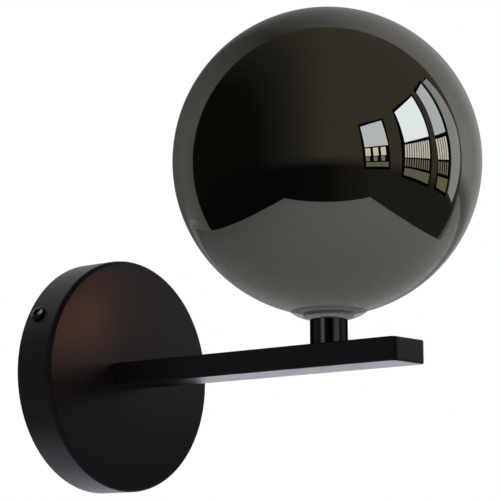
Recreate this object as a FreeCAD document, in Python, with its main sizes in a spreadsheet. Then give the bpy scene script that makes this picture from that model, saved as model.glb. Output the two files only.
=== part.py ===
import FreeCAD, Part
import Sketcher
import math
import os
import re

# Globe wall sconce: a mirrored smoke-glass globe standing on a short black stem, carried by a
# flat rectangular arm that reaches out from a round wall canopy. Millimetres. The wall is the
# plane Y = 0, the lamp reaches out along -Y, +Z is up, and the origin is the middle of the wall
# plate, where the lamp meets the wall.

V = FreeCAD.Vector
doc = FreeCAD.newDocument("globe_wall_sconce")
sizes = doc.addObject("Spreadsheet::Sheet", "Sizes")

DRIVING_SIZES = [
    # wall plate: a round sheet with two bent lugs for the canopy's side screws
    ("plate_diameter", 100.0, "wall plate, across the disc"),
    ("plate_thickness", 2.0, "wall plate, sheet thickness"),
    ("lug_width", 14.0, "bent lug, width"),
    ("lug_reach", 58.1, "bent lug, outer face from the centre"),
    ("lug_height", 14.0, "bent lug, height from the wall"),
    ("lug_bend", 1.0, "bent lug, inner bend radius"),
    ("lug_root", 6.0, "bent lug, drawn this far inside the disc's rim"),
    ("lug_corner", 2.0, "bent lug, corner radius of its end"),
    ("cable_entry", 18.0, "hole for the house cable"),
    ("wall_slot_spacing", 66.0, "wall slots, centre to centre"),
    ("wall_slot_length", 14.0, "wall slots, overall length"),
    ("wall_slot_width", 5.0, "wall slots, width"),
    # canopy: a pressed steel cup over the wall plate
    ("canopy_diameter", 120.0, "canopy, outside"),
    ("canopy_depth", 22.0, "canopy, wall to front face"),
    ("canopy_wall", 1.2, "canopy, sheet thickness"),
    ("canopy_edge", 2.0, "canopy, outside radius of the front edge"),
    ("side_screw_angle", 152.0, "side screws, anticlockwise from +X, seen from the front"),
    ("side_screw_setback", 7.5, "side screws, distance from the wall"),
    ("screw_thread", 4.0, "M4 screws, thread diameter"),
    ("side_screw_length", 8.0, "side screws, length under the head"),
    ("screw_head", 8.0, "M4 screws, head diameter"),
    ("screw_head_height", 2.6, "M4 screws, head height"),
    ("screw_point", 0.4, "all screws, chamfer of the point"),
    ("head_side", 0.35, "all screws, straight share of the head's height"),
    ("hole_play", 0.2, "clearance holes, gap round a screw"),
    ("close_play", 0.1, "close holes, gap round a screw"),
    ("washer_overhang", 0.4, "plain washers, beyond the screw head"),
    ("overrun", 1.0, "cuts, how far they run past the solid"),
    # arm: a rectangular tube, closed by a cap, screwed to the canopy from inside
    ("arm_width", 26.0, "arm, across"),
    ("arm_height", 11.4, "arm, top to bottom"),
    ("arm_length", 176.0, "arm, canopy face to tip"),
    ("arm_wall", 1.5, "arm, tube wall"),
    ("arm_corner", 0.9, "arm, outside corner radius"),
    ("arm_inner_corner", 0.5, "arm, inside corner radius"),
    ("cap_thickness", 4.0, "end cap, plate that closes the arm"),
    ("cap_corner", 3.0, "end cap, radius of the tip's upright corners"),
    ("plug_corner", 0.6, "end cap's plug and root block, corner radius"),
    ("cap_plug", 8.0, "end cap, length of the plug in the arm"),
    ("cap_plug_wall", 1.6, "end cap, wall of the hollow plug"),
    ("root_plug_length", 10.0, "threaded root block in the arm"),
    ("arm_screw_spacing", 17.0, "arm screws, centre to centre"),
    ("arm_screw_length", 10.0, "arm screws, length under the head"),
    ("bush_bore", 4.6, "wire bush, bore"),
    ("bush_body", 6.0, "wire bush, body in the canopy"),
    ("bush_length", 3.2, "wire bush, length under the flange"),
    ("bush_flange", 7.6, "wire bush, flange"),
    ("bush_flange_thickness", 1.0, "wire bush, flange thickness"),
    ("bush_rounding", 0.4, "wire bush, chamfers of the flange"),
    # stem, threaded tube and what they clamp
    ("arm_reach", 151.0, "wall to the axis of stem and globe"),
    ("stem_diameter", 18.2, "stem, outside"),
    ("stem_height", 12.6, "stem, arm to seat"),
    ("stem_wall", 2.0, "stem, wall"),
    ("stem_chamfer", 0.3, "stem, chamfer of both ends"),
    ("nipple_diameter", 10.0, "threaded tube M10x1, outside"),
    ("nipple_bore", 7.0, "threaded tube M10x1, bore"),
    ("nipple_length", 27.0, "threaded tube M10x1, length"),
    ("nut_flats", 14.0, "thin M10x1 nuts, across flats"),
    ("nut_height", 3.0, "thin M10x1 nuts, height"),
    ("nut_face", 0.1, "thin M10x1 nuts, top face inside the flats"),
    ("nipple_stick_out", 0.4, "threaded tube, below the lower nut"),
    ("washer_diameter", 15.4, "toothed washers, outside"),
    ("washer_thickness", 0.8, "toothed washers, thickness"),
    ("washer_bore", 10.2, "toothed washers, bore"),
    ("washer_teeth", 10.0, "toothed washers, number of teeth"),
    ("notch_depth", 1.0, "toothed washers, depth of the notches"),
    ("notch_width", 1.0, "toothed washers, width of the notches"),
    # seat and collar under the globe
    ("seat_diameter", 37.0, "globe seat, rim"),
    ("seat_thickness", 1.2, "globe seat, clamped centre"),
    ("seat_rim", 0.4, "globe seat, thickness at the rim"),
    ("seat_dish", 18.0, "globe seat, radius of its underside"),
    ("collar_diameter", 23.4, "threaded collar, outside"),
    ("collar_wall", 1.8, "threaded collar, wall"),
    ("collar_base", 2.0, "threaded collar, base"),
    ("collar_height", 11.5, "threaded collar, overall"),
    ("collar_edge", 0.5, "threaded collar, chamfers"),
    # globe
    ("globe_diameter", 150.0, "globe, outside"),
    ("globe_wall", 2.4, "globe, glass thickness"),
    ("globe_centre_height", 95.3, "globe centre above the arm's middle plane"),
    ("globe_neck_bore", 24.0, "globe, bore of the inward neck"),
    ("globe_neck_wall", 2.6, "globe, wall of the inward neck"),
    ("globe_neck_top", 34.0, "globe, top of the inward neck above the arm's middle plane"),
    ("globe_neck_edge", 0.6, "globe, chamfers at the top of the neck"),
    ("globe_neck_fillet", 2.0, "globe, fillet between neck and ball"),
    ("globe_lip", 1.2, "globe, rounded lip of the mouth, across"),
    ("globe_lip_rise", 1.44, "globe, rounded lip of the mouth, height"),
    ("globe_lip_radius", 1.68, "globe, rounded lip of the mouth, radius"),
    ("globe_clearance", 0.1, "globe, gap over its seat"),
    # lampholder for a two-pin bulb with its pins 9 mm apart
    ("holder_diameter", 18.4, "lampholder, across"),
    ("holder_height", 18.0, "lampholder, overall"),
    ("holder_foot", 4.8, "lampholder, height of the foot"),
    ("holder_body_width", 8.6, "lampholder, across the flats above the foot"),
    ("socket_length", 13.4, "lampholder socket, length"),
    ("socket_width", 6.0, "lampholder socket, width"),
    ("socket_depth", 8.0, "lampholder socket, depth"),
    ("socket_corner", 0.8, "lampholder socket and bulb tongue, corner radius"),
    ("pin_spacing", 9.0, "pins, centre to centre"),
    ("pin_diameter", 1.5, "pins, wire diameter"),
    ("pin_hole_play", 0.5, "pins, gap in the lampholder's holes"),
    ("pin_taper", 0.3, "pins, taper of the end, across"),
    ("pin_taper_length", 0.5, "pins, taper of the end, length"),
    ("holder_screw_spacing", 13.2, "lampholder screws, centre to centre"),
    ("holder_screw", 2.5, "lampholder screws, thread diameter"),
    ("holder_screw_length", 6.0, "lampholder screws, length under the head"),
    ("holder_screw_head", 4.5, "lampholder screws, head diameter"),
    ("holder_screw_head_height", 1.7, "lampholder screws, head height"),
    ("chamber_middle", 4.2, "lampholder, contact chambers from the axis"),
    ("chamber_length", 5.8, "lampholder, contact chamber along the pins' line"),
    ("chamber_width", 5.4, "lampholder, contact chamber across"),
    ("chamber_depth", 8.5, "lampholder, contact chamber from below"),
    ("chamber_corner", 0.5, "lampholder, contact chamber's corner radius"),
    ("contact_gap", 1.7, "contacts, gap that grips a pin"),
    ("contact_sheet", 0.5, "contacts, sheet thickness"),
    ("contact_width", 3.6, "contacts, width"),
    ("contact_floor", 1.5, "contacts, underside above the lampholder's"),
    ("contact_height", 7.0, "contacts, overall"),
    ("strap_thickness", 1.0, "lampholder strap, sheet thickness"),
    ("strap_height", 6.7, "lampholder strap, overall"),
    ("strap_disc", 17.6, "lampholder strap, clamped disc"),
    ("strap_leg_reach", 9.0, "lampholder strap, outer face of the legs"),
    ("strap_leg_width", 7.0, "lampholder strap, width of the legs"),
    ("strap_tab_end", 4.6, "lampholder strap, inner end of the tabs"),
    ("strap_bend", 0.3, "lampholder strap, inner bend radius"),
    # bulb
    ("bulb_diameter", 15.4, "bulb, across"),
    ("bulb_tongue_play", 0.3, "bulb, play of its tongue in the socket"),
    ("bulb_rest_gap", 0.1, "bulb, gap under its tongue"),
    ("bulb_shoulder", 8.4, "bulb, underside of the round base above the socket floor"),
    ("bulb_pin_length", 7.0, "bulb, pins below the tongue"),
    ("bulb_pin_root", 3.0, "bulb, pins held in the tongue"),
    ("bulb_base_edge", 0.6, "bulb, rounding under the round base"),
    ("bulb_base_height", 11.0, "bulb, base above the lampholder"),
    ("bulb_cover_height", 38.0, "bulb, cover above the base"),
    ("bulb_cover_wall", 1.0, "bulb, wall of the cover"),
    ("bulb_core_diameter", 8.0, "bulb, light carrier across flats"),
    ("bulb_core_height", 30.0, "bulb, light carrier above the base"),
    # terminal block and wiring
    ("pole_pitch", 8.6, "terminal block, pole to pole"),
    ("block_height", 17.0, "terminal block, along the wires"),
    ("block_depth", 13.0, "terminal block, from the plate out"),
    ("block_drop", 30.0, "terminal block, below the centre"),
    ("block_end_wall", 0.5, "terminal block, beyond its outer poles"),
    ("block_corner", 1.0, "terminal block, corner radius"),
    ("wire_tunnel", 3.4, "terminal block, wire tunnel"),
    ("clamp_size", 4.6, "terminal clamps, section"),
    ("clamp_length", 12.0, "terminal clamps, length"),
    ("clamp_screw_spacing", 7.0, "terminal clamps, screw to screw"),
    ("clamp_bore", 3.2, "terminal clamps, bore"),
    ("small_screw", 3.0, "M3 screws, thread diameter"),
    ("block_screw_length", 14.5, "terminal block's screw, length under the head"),
    ("block_screw_head", 5.0, "terminal block's screw, head diameter"),
    ("block_screw_head_height", 2.0, "terminal block's screw, head height"),
    ("terminal_head", 3.4, "terminal screws, head diameter"),
    ("terminal_head_height", 1.6, "terminal screws, head height"),
    ("lead_diameter", 1.8, "leads, over the insulation"),
    ("lead_spacing", 1.9, "leads in the bush, centre to centre"),
    ("lead_rise_spacing", 4.5, "leads in the threaded tube, centre to centre"),
    ("lead_rise_setback", 0.9, "leads in the threaded tube, beyond its axis"),
    ("lead_floor", 3.2, "leads in the arm, below its middle plane"),
    ("lead_bend", 9.0, "leads, bends over the terminal block"),
    ("lead_bush_bend", 8.5, "leads, bend into the bush"),
    ("lead_riser_bend", 8.0, "leads, bend into the threaded tube"),
    ("earth_screw_side", 20.0, "earth screw, to the right of the centre"),
    ("earth_screw_rise", 25.0, "earth screw, above the centre"),
    ("earth_screw_length", 3.5, "earth screw, length under the head"),
    ("tag_thickness", 0.8, "earth tag, sheet thickness"),
    ("tag_ring", 8.0, "earth tag, ring diameter"),
    ("tag_reach", 12.0, "earth tag, ring centre to the end of the barrel"),
    ("tag_barrel", 3.4, "earth tag, barrel diameter"),
    ("tag_barrel_length", 6.0, "earth tag, barrel length"),
    ("tag_overlap", 1.0, "earth tag, tongue over the barrel"),
]

ALIASES = set()
for row, (alias, number, note) in enumerate(DRIVING_SIZES, 1):
    sizes.set(f"A{row}", note)
    sizes.set(f"B{row}", str(number))
    sizes.setAlias(f"B{row}", alias)
    ALIASES.add(alias)
doc.recompute()

PARTS = []


# ---------------------------------------------------------------- ways of drawing and cutting

def value(text):
    """The number that an expression in the sheet's words stands for now."""
    return float(sizes.evalExpression(str(text)))


def bound(text):
    """The same expression as an object outside the sheet writes it."""
    def full_name(word):
        name = word.group()
        return "Sizes." + name if name in ALIASES else name
    return re.sub(r"\b[a-z_]+\b", full_name, str(text))


def body_named(label):
    """A new sub-part made as a body. It may hold several separate like solids."""
    body = doc.addObject("PartDesign::Body", label)
    body.Label = label
    body.AllowCompound = True
    PARTS.append(body)
    return body


def origin_feature(body, role):
    return next(item for item in body.Origin.OriginFeatures if item.Role == role)


def sketch_on(body, name, plane, offset="0", turn="0", start=("0", "0")):
    """A sketch on one of the body's own planes: its distance, turn and starting point there."""
    sketch = body.newObject("Sketcher::SketchObject", name)
    sketch.AttachmentSupport = [(origin_feature(body, plane), "")]
    sketch.MapMode = "FlatFace"
    sketch.setExpression("AttachmentOffset.Base.x", bound(start[0]))
    sketch.setExpression("AttachmentOffset.Base.y", bound(start[1]))
    sketch.setExpression("AttachmentOffset.Base.z", bound(offset))
    sketch.setExpression("AttachmentOffset.Rotation.Angle", bound(turn))
    return sketch


def pin_point(sketch, side, end, x, y, name):
    """Fix one point of the sketch at an x and y that follow the sheet."""
    for axis, text in (("X", x), ("Y", y)):
        index = sketch.addConstraint(
            Sketcher.Constraint("Distance" + axis, -1, 1, side, end, value(text)))
        sketch.renameConstraint(index, name + axis.lower())
        sketch.setExpression("Constraints." + name + axis.lower(), bound(text))


def fix_radius(sketch, side, radius, name):
    index = sketch.addConstraint(Sketcher.Constraint("Radius", side, value(radius)))
    sketch.renameConstraint(index, name)
    sketch.setExpression("Constraints." + name, bound(radius))


def arc_between(start, end, radius, way):
    """The shorter arc from start to end that turns left or right."""
    middle = (start + end) / 2
    chord = end - start
    rise = math.sqrt(max(radius ** 2 - (chord.Length / 2) ** 2, 0.0))
    left = V(-chord.y, chord.x, 0).normalize()
    centre = middle + left * (rise if way == "left" else -rise)
    first, last = (start, end) if way == "left" else (end, start)
    angle_a = math.atan2(first.y - centre.y, first.x - centre.x)
    angle_b = math.atan2(last.y - centre.y, last.x - centre.x)
    circle = Part.Circle(centre, V(0, 0, 1), radius)
    return Part.ArcOfCircle(circle, angle_a, angle_b)


def outline(sketch, *corners):
    """A closed outline. A corner is (x, y), or (x, y, radius, way) where an arc leaves it."""
    base = sketch.GeometryCount
    points = [V(value(corner[0]), value(corner[1]), 0) for corner in corners]
    count = len(corners)
    ends = []
    for i, corner in enumerate(corners):
        start, end = points[i], points[(i + 1) % count]
        if len(corner) == 4:
            sketch.addGeometry(arc_between(start, end, value(corner[2]), corner[3]), False)
            ends.append((1, 2) if corner[3] == "left" else (2, 1))
        else:
            sketch.addGeometry(Part.LineSegment(start, end), False)
            ends.append((1, 2))
    for i in range(count):
        after = (i + 1) % count
        sketch.addConstraint(Sketcher.Constraint(
            "Coincident", base + i, ends[i][1], base + after, ends[after][0]))
    for i, corner in enumerate(corners):
        pin_point(sketch, base + i, ends[i][0], corner[0], corner[1], f"corner{base + i}")
        if len(corner) == 4:
            fix_radius(sketch, base + i, corner[2], f"radius{base + i}")
    return sketch


def rectangle(sketch, left, bottom, right, top):
    return outline(sketch, (left, bottom), (right, bottom), (right, top), (left, top))


def rounded_rectangle(sketch, width, height, radius):
    """A rectangle about the sketch's starting point, with all four corners rounded."""
    across, up = f"({width}) / 2", f"({height}) / 2"
    inner_across, inner_up = f"({across} - {radius})", f"({up} - {radius})"
    return outline(
        sketch,
        (f"-{inner_across}", f"-{up}"), (inner_across, f"-{up}", radius, "left"),
        (across, f"-{inner_up}"), (across, inner_up, radius, "left"),
        (inner_across, up), (f"-{inner_across}", up, radius, "left"),
        (f"-{across}", inner_up), (f"-{across}", f"-{inner_up}", radius, "left"))


def circle(sketch, x, y, radius):
    index = sketch.addGeometry(
        Part.Circle(V(value(x), value(y), 0), V(0, 0, 1), value(radius)), False)
    pin_point(sketch, index, 3, x, y, f"centre{index}")
    fix_radius(sketch, index, radius, f"radius{index}")
    return sketch


def long_hole(sketch, x, y, length, width):
    """A slot with round ends, along the sketch's first axis."""
    half = f"(({length}) - ({width})) / 2"
    radius = f"({width}) / 2"
    base = sketch.GeometryCount
    r = value(radius)
    left = V(value(f"({x}) - {half}"), value(y), 0)
    right = V(value(f"({x}) + {half}"), value(y), 0)
    up, normal = V(0, r, 0), V(0, 0, 1)
    sketch.addGeometry(Part.LineSegment(left - up, right - up), False)
    sketch.addGeometry(Part.ArcOfCircle(
        Part.Circle(right, normal, r), -math.pi / 2, math.pi / 2), False)
    sketch.addGeometry(Part.LineSegment(right + up, left + up), False)
    sketch.addGeometry(Part.ArcOfCircle(
        Part.Circle(left, normal, r), math.pi / 2, 3 * math.pi / 2), False)
    for i in range(4):
        sketch.addConstraint(Sketcher.Constraint(
            "Tangent", base + i, 2, base + (i + 1) % 4, 1))
    pin_point(sketch, base + 1, 3, f"({x}) + {half}", y, f"end{base + 1}")
    pin_point(sketch, base + 3, 3, f"({x}) - {half}", y, f"end{base + 3}")
    fix_radius(sketch, base + 1, radius, f"radius{base + 1}")
    fix_radius(sketch, base + 3, radius, f"radius{base + 3}")
    return sketch


def finish_feature(body, feature):
    body.Tip = feature
    doc.recompute()
    if "Invalid" in feature.State:
        raise RuntimeError(f"{body.Label}: {feature.Name} did not build")
    return feature


def pad(body, sketch, length, reverse=False, both_ways=False):
    feature = body.newObject("PartDesign::Pad", sketch.Name + "_pad")
    feature.Profile = sketch
    feature.setExpression("Length", bound(length))
    feature.Reversed = reverse
    if both_ways:
        feature.SideType = "Symmetric"
    sketch.Visibility = False
    return finish_feature(body, feature)


def pocket(body, sketch, depth, reverse=False, both_ways=False):
    """Cut a sketch into the body, and stop if it takes nothing away."""
    before = body.Shape.Volume
    feature = body.newObject("PartDesign::Pocket", sketch.Name + "_cut")
    feature.Profile = sketch
    feature.setExpression("Length", bound(depth))
    feature.Reversed = reverse
    if both_ways:
        feature.SideType = "Symmetric"
    finish_feature(body, feature)
    if body.Shape.Volume > before - 1e-3:
        raise RuntimeError(f"{body.Label}: {sketch.Name} cuts nothing")
    return feature


def turn(body, sketch, axis="V_Axis"):
    """Turn a half section about one of the sketch's axes, as on a lathe."""
    feature = body.newObject("PartDesign::Revolution", sketch.Name + "_turned")
    feature.Profile = sketch
    feature.ReferenceAxis = (sketch, [axis])
    feature.Angle = 360
    return finish_feature(body, feature)


def round_edges(body, radius, chosen, kind="Fillet"):
    """Round or chamfer the edges for which chosen(edge) is true."""
    base = body.Tip
    names = [f"Edge{i}" for i, edge in enumerate(base.Shape.Edges, 1) if chosen(edge)]
    if not names:
        raise RuntimeError(f"{body.Label}: no edge to round")
    feature = body.newObject("PartDesign::" + kind, f"{body.Name}_{kind.lower()}")
    feature.Base = (base, names)
    feature.setExpression("Radius" if kind == "Fillet" else "Size", bound(radius))
    return finish_feature(body, feature)


def around(body, features, axis, count):
    pattern = body.newObject("PartDesign::PolarPattern", body.Name + "_around")
    pattern.Originals = features
    pattern.Axis = (origin_feature(body, axis), [""])
    pattern.Angle = 360
    pattern.Occurrences = count
    return finish_feature(body, pattern)


def mirrored(body, features, plane):
    pattern = body.newObject("PartDesign::Mirrored", body.Name + "_mirrored")
    pattern.Originals = features
    pattern.MirrorPlane = (origin_feature(body, plane), [""])
    return finish_feature(body, pattern)


def place(part, x="0", y="0", z="0"):
    for axis, text in (("x", x), ("y", y), ("z", z)):
        part.setExpression("Placement.Base." + axis, bound(text))
    doc.recompute()


def turn_on_wall(part):
    """Turn a part about the wall's normal, so that its first axis meets the side screws."""
    part.Placement = FreeCAD.Placement(V(0, 0, 0), FreeCAD.Rotation(V(0, -1, 0), 0))
    part.setExpression("Placement.Rotation.Angle", bound("side_screw_angle"))
    doc.recompute()


def flat_at(edge, axis, position):
    """True if every point of the edge has this coordinate."""
    box = edge.BoundBox
    low, high = getattr(box, axis + "Min"), getattr(box, axis + "Max")
    return abs(low - position) < 1e-4 and abs(high - position) < 1e-4


# Levels that several pieces share, above the arm's middle plane.
ARM_TOP = "(arm_height / 2)"
ARM_CEILING = "(arm_height / 2 - arm_wall)"
STEM_TOP = "(arm_height / 2 + stem_height)"
SEAT_TOP = f"({STEM_TOP} + seat_thickness)"
COLLAR_FLOOR = f"({SEAT_TOP} + collar_base)"
LOWER_NUT = f"({ARM_CEILING} - washer_thickness - nut_height)"
UPPER_NUT = f"({COLLAR_FLOOR} + strap_thickness + washer_thickness)"
HOLDER_FLOOR = f"({COLLAR_FLOOR} + strap_height)"
SOCKET_FLOOR = f"({HOLDER_FLOOR} + holder_height - socket_depth)"
ARM_END = "(canopy_depth + arm_length - cap_thickness)"


# ---------------------------------------------------------------- wall plate

TURNED_BACK = "-side_screw_angle"


def wall_plate():
    """A zinc-plated disc with slots for the wall and two lugs bent out for the side screws."""
    plate = body_named("wall_plate")
    disc = sketch_on(plate, "plate_disc", "XZ_Plane")
    circle(disc, "0", "0", "plate_diameter / 2")
    pad(plate, disc, "plate_thickness")

    ear = sketch_on(plate, "lug_ear", "XZ_Plane")
    rectangle(ear, "plate_diameter / 2 - lug_root", "-lug_width / 2", "lug_reach", "lug_width / 2")
    ear_pad = pad(plate, ear, "plate_thickness")
    upright = sketch_on(plate, "lug_upright", "XZ_Plane")
    rectangle(upright, "lug_reach - plate_thickness", "-lug_width / 2", "lug_reach", "lug_width / 2")
    upright_pad = pad(plate, upright, "lug_height")
    around(plate, [ear_pad, upright_pad], "Y_Axis", 2)

    lug_hole = sketch_on(plate, "lug_holes", "YZ_Plane")
    circle(lug_hole, "-side_screw_setback", "0", "screw_thread / 2")
    pocket(plate, lug_hole, "2 * (lug_reach + overrun)", both_ways=True)
    reach, thickness = value("lug_reach"), value("plate_thickness")
    inner, height = reach - thickness, value("lug_height")
    round_edges(plate, "lug_bend", lambda edge: flat_at(edge, "Y", -thickness) and (
        flat_at(edge, "X", inner) or flat_at(edge, "X", -inner)))
    round_edges(plate, "lug_bend + plate_thickness", lambda edge: flat_at(edge, "Y", 0) and (
        flat_at(edge, "X", reach) or flat_at(edge, "X", -reach)))
    half = value("lug_width / 2")
    round_edges(plate, "lug_corner", lambda edge: flat_at(edge, "Y", -height) and (
        flat_at(edge, "Z", half) or flat_at(edge, "Z", -half)))

    slots = sketch_on(plate, "wall_slots", "XZ_Plane", turn=TURNED_BACK)
    long_hole(slots, "wall_slot_spacing / 2", "0", "wall_slot_length", "wall_slot_width")
    long_hole(slots, "-wall_slot_spacing / 2", "0", "wall_slot_length", "wall_slot_width")
    pocket(plate, slots, "plate_thickness", reverse=True)
    holes = sketch_on(plate, "plate_holes", "XZ_Plane", turn=TURNED_BACK)
    circle(holes, "0", "0", "cable_entry / 2")
    circle(holes, "earth_screw_side", "earth_screw_rise", "screw_thread / 2")
    circle(holes, "pole_pitch / 2", "-block_drop", "small_screw / 2")
    pocket(plate, holes, "plate_thickness", reverse=True)
    turn_on_wall(plate)


# ---------------------------------------------------------------- canopy

def canopy_cover():
    """A spun steel cup, open at the wall, with a rounded front edge."""
    cover = body_named("canopy_cover")
    section = sketch_on(cover, "canopy_section", "XY_Plane")
    outside, front = "(canopy_diameter / 2)", "canopy_depth"
    inside, inner_front = f"({outside} - canopy_wall)", "(canopy_depth - canopy_wall)"
    inner_edge = "(canopy_edge - canopy_wall)"
    outline(section,
            (inside, "0"), (inside, f"-({front} - canopy_edge)", inner_edge, "right"),
            (f"{outside} - canopy_edge", f"-{inner_front}"), ("0", f"-{inner_front}"),
            ("0", f"-{front}"), (f"{outside} - canopy_edge", f"-{front}", "canopy_edge", "left"),
            (outside, f"-({front} - canopy_edge)"), (outside, "0"))
    turn(cover, section)

    side_holes = sketch_on(cover, "canopy_side_holes", "YZ_Plane")
    circle(side_holes, "-side_screw_setback", "0", "screw_thread / 2 + hole_play")
    pocket(cover, side_holes, "canopy_diameter + 2 * overrun", both_ways=True)
    face_holes = sketch_on(cover, "canopy_face_holes", "XZ_Plane", offset="canopy_depth",
                           turn=TURNED_BACK)
    circle(face_holes, "0", "0", "bush_body / 2")
    circle(face_holes, "arm_screw_spacing / 2", "0", "screw_thread / 2 + hole_play")
    circle(face_holes, "-arm_screw_spacing / 2", "0", "screw_thread / 2 + hole_play")
    pocket(cover, face_holes, "canopy_wall")
    turn_on_wall(cover)


# ---------------------------------------------------------------- screws and washers

def screw_section(sketch, thread, length, head, head_height):
    """Half a pan-head screw on the sketch's second axis, its head above the first axis."""
    crown = f"((1 - head_side) * {head_height})"
    outline(
        sketch,
        ("0", f"-({length})"), (f"{thread} / 2 - screw_point", f"-({length})"),
        (f"{thread} / 2", f"-({length}) + screw_point"), (f"{thread} / 2", "0"),
        (f"{head} / 2", "0"), (f"{head} / 2", f"head_side * {head_height}", crown, "left"),
        (f"{head} / 2 - {crown}", head_height), ("0", head_height))
    return sketch


def side_screws():
    """Two pan-head screws through the canopy's rim into the lugs."""
    screws = body_named("side_screws")
    section = sketch_on(screws, "side_screw_section", "XY_Plane", turn="-90",
                        start=("canopy_diameter / 2", "-side_screw_setback"))
    screw_section(section, "screw_thread", "side_screw_length", "screw_head", "screw_head_height")
    first = turn(screws, section)
    around(screws, [first], "Y_Axis", 2)
    turn_on_wall(screws)


def arm_screws():
    """Two screws from inside the canopy into the arm's root block, with their washers."""
    screws = body_named("arm_screws")
    section = sketch_on(screws, "arm_screw_section", "XY_Plane", start=(
        "arm_screw_spacing / 2", "-canopy_depth + canopy_wall + washer_thickness"))
    screw_section(section, "screw_thread", "arm_screw_length", "screw_head", "screw_head_height")
    first = turn(screws, section)
    mirrored(screws, [first], "YZ_Plane")

    washers = body_named("arm_washers")
    rings = sketch_on(washers, "arm_washer_rings", "XZ_Plane",
                      offset="canopy_depth - canopy_wall - washer_thickness")
    for side in ("", "-"):
        circle(rings, side + "arm_screw_spacing / 2", "0", "screw_head / 2 + washer_overhang")
        circle(rings, side + "arm_screw_spacing / 2", "0", "screw_thread / 2 + close_play")
    pad(washers, rings, "washer_thickness")


def wire_bush():
    """A moulded bush that lines the wires' way through the canopy into the arm."""
    bush = body_named("wire_bush")
    section = sketch_on(bush, "bush_section", "XY_Plane",
                        start=("0", "-canopy_depth + canopy_wall"))
    top, shoulder = "bush_flange_thickness", "(bush_flange_thickness - bush_rounding)"
    outline(section,
            ("bush_bore / 2", "-bush_length"), ("bush_body / 2", "-bush_length"),
            ("bush_body / 2", "0"), ("bush_flange / 2", "0"), ("bush_flange / 2", shoulder),
            ("bush_flange / 2 - bush_rounding", top), ("bush_bore / 2 + bush_rounding", top),
            ("bush_bore / 2", shoulder))
    turn(bush, section)


# ---------------------------------------------------------------- arm

def arm_bar():
    """The arm: a rectangular tube with softly rounded edges, and one hole for the stem."""
    arm = body_named("arm_bar")
    section = sketch_on(arm, "arm_section", "XZ_Plane", offset="canopy_depth")
    rounded_rectangle(section, "arm_width", "arm_height", "arm_corner")
    rounded_rectangle(section, "arm_width - 2 * arm_wall", "arm_height - 2 * arm_wall",
                      "arm_inner_corner")
    pad(arm, section, "arm_length - cap_thickness")
    hole = sketch_on(arm, "stem_hole", "XY_Plane", offset=ARM_TOP)
    circle(hole, "0", "-arm_reach", "washer_bore / 2")
    pocket(arm, hole, "arm_wall")


def arm_end_cap():
    """The cap: a plate with rounded upright corners, and a hollow plug pushed into the tube."""
    cap = body_named("arm_end_cap")
    plan = sketch_on(cap, "cap_plan", "XY_Plane")
    side, root, tip = "(arm_width / 2)", ARM_END, "(canopy_depth + arm_length)"
    outline(plan,
            (side, f"-{root}"), (f"-{side}", f"-{root}"),
            (f"-{side}", f"-({tip} - cap_corner)", "cap_corner", "left"),
            (f"-({side} - cap_corner)", f"-{tip}"),
            (f"{side} - cap_corner", f"-{tip}", "cap_corner", "left"),
            (side, f"-({tip} - cap_corner)"))
    pad(cap, plan, "arm_height", both_ways=True)
    half, inner_end = value("arm_height / 2"), -value(ARM_END)
    round_edges(cap, "arm_corner", lambda edge: not flat_at(edge, "Y", inner_end) and (
        flat_at(edge, "Z", half) or flat_at(edge, "Z", -half)))
    plug = sketch_on(cap, "cap_plug", "XZ_Plane", offset=ARM_END)
    rounded_rectangle(plug, "arm_width - 2 * arm_wall",
                      "arm_height - 2 * arm_wall", "plug_corner")
    rounded_rectangle(plug, "arm_width - 2 * arm_wall - 2 * cap_plug_wall",
                      "arm_height - 2 * arm_wall - 2 * cap_plug_wall", "plug_corner")
    pad(cap, plug, "cap_plug", reverse=True)


def arm_root_block():
    """The steel block pressed into the arm's root, tapped for the two arm screws."""
    block = body_named("arm_root_block")
    section = sketch_on(block, "root_section", "XZ_Plane", offset="canopy_depth")
    rounded_rectangle(section, "arm_width - 2 * arm_wall",
                      "arm_height - 2 * arm_wall", "plug_corner")
    circle(section, "0", "0", "bush_body / 2")
    circle(section, "arm_screw_spacing / 2", "0", "screw_thread / 2")
    circle(section, "-arm_screw_spacing / 2", "0", "screw_thread / 2")
    pad(block, section, "root_plug_length")


# ---------------------------------------------------------------- stem and what it clamps

def stem_tube():
    """The short black stem, a turned tube that stands on the arm."""
    stem = body_named("stem_tube")
    ring = sketch_on(stem, "stem_ring", "XY_Plane")
    circle(ring, "0", "0", "stem_diameter / 2")
    circle(ring, "0", "0", "stem_diameter / 2 - stem_wall")
    pad(stem, ring, "stem_height")
    outside = value("stem_diameter / 2")
    round_edges(stem, "stem_chamfer", lambda edge: abs(edge.BoundBox.XMax - outside) < 1e-4
                and edge.BoundBox.ZLength < 1e-4, kind="Chamfer")
    place(stem, y="-arm_reach", z=ARM_TOP)


def cylinder(name, radius, height, z="0"):
    solid = doc.addObject("Part::Cylinder", name)
    solid.setExpression("Radius", bound(radius))
    solid.setExpression("Height", bound(height))
    solid.setExpression("Placement.Base.z", bound(z))
    return solid


def cut_named(label, base, tool):
    """A sub-part made by taking one plain solid out of another."""
    part = doc.addObject("Part::Cut", label)
    part.Label = label
    part.Base = base
    part.Tool = tool
    doc.recompute()
    PARTS.append(part)
    return part


def threaded_tube():
    """The hollow threaded tube that carries the wires and clamps arm, stem and collar."""
    tube = cut_named("threaded_tube",
                     cylinder("tube_outside", "nipple_diameter / 2", "nipple_length"),
                     cylinder("tube_bore", "nipple_bore / 2", "nipple_length + 2 * overrun",
                              "-overrun"))
    place(tube, y="-arm_reach", z=f"{LOWER_NUT} - nipple_stick_out")


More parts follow.
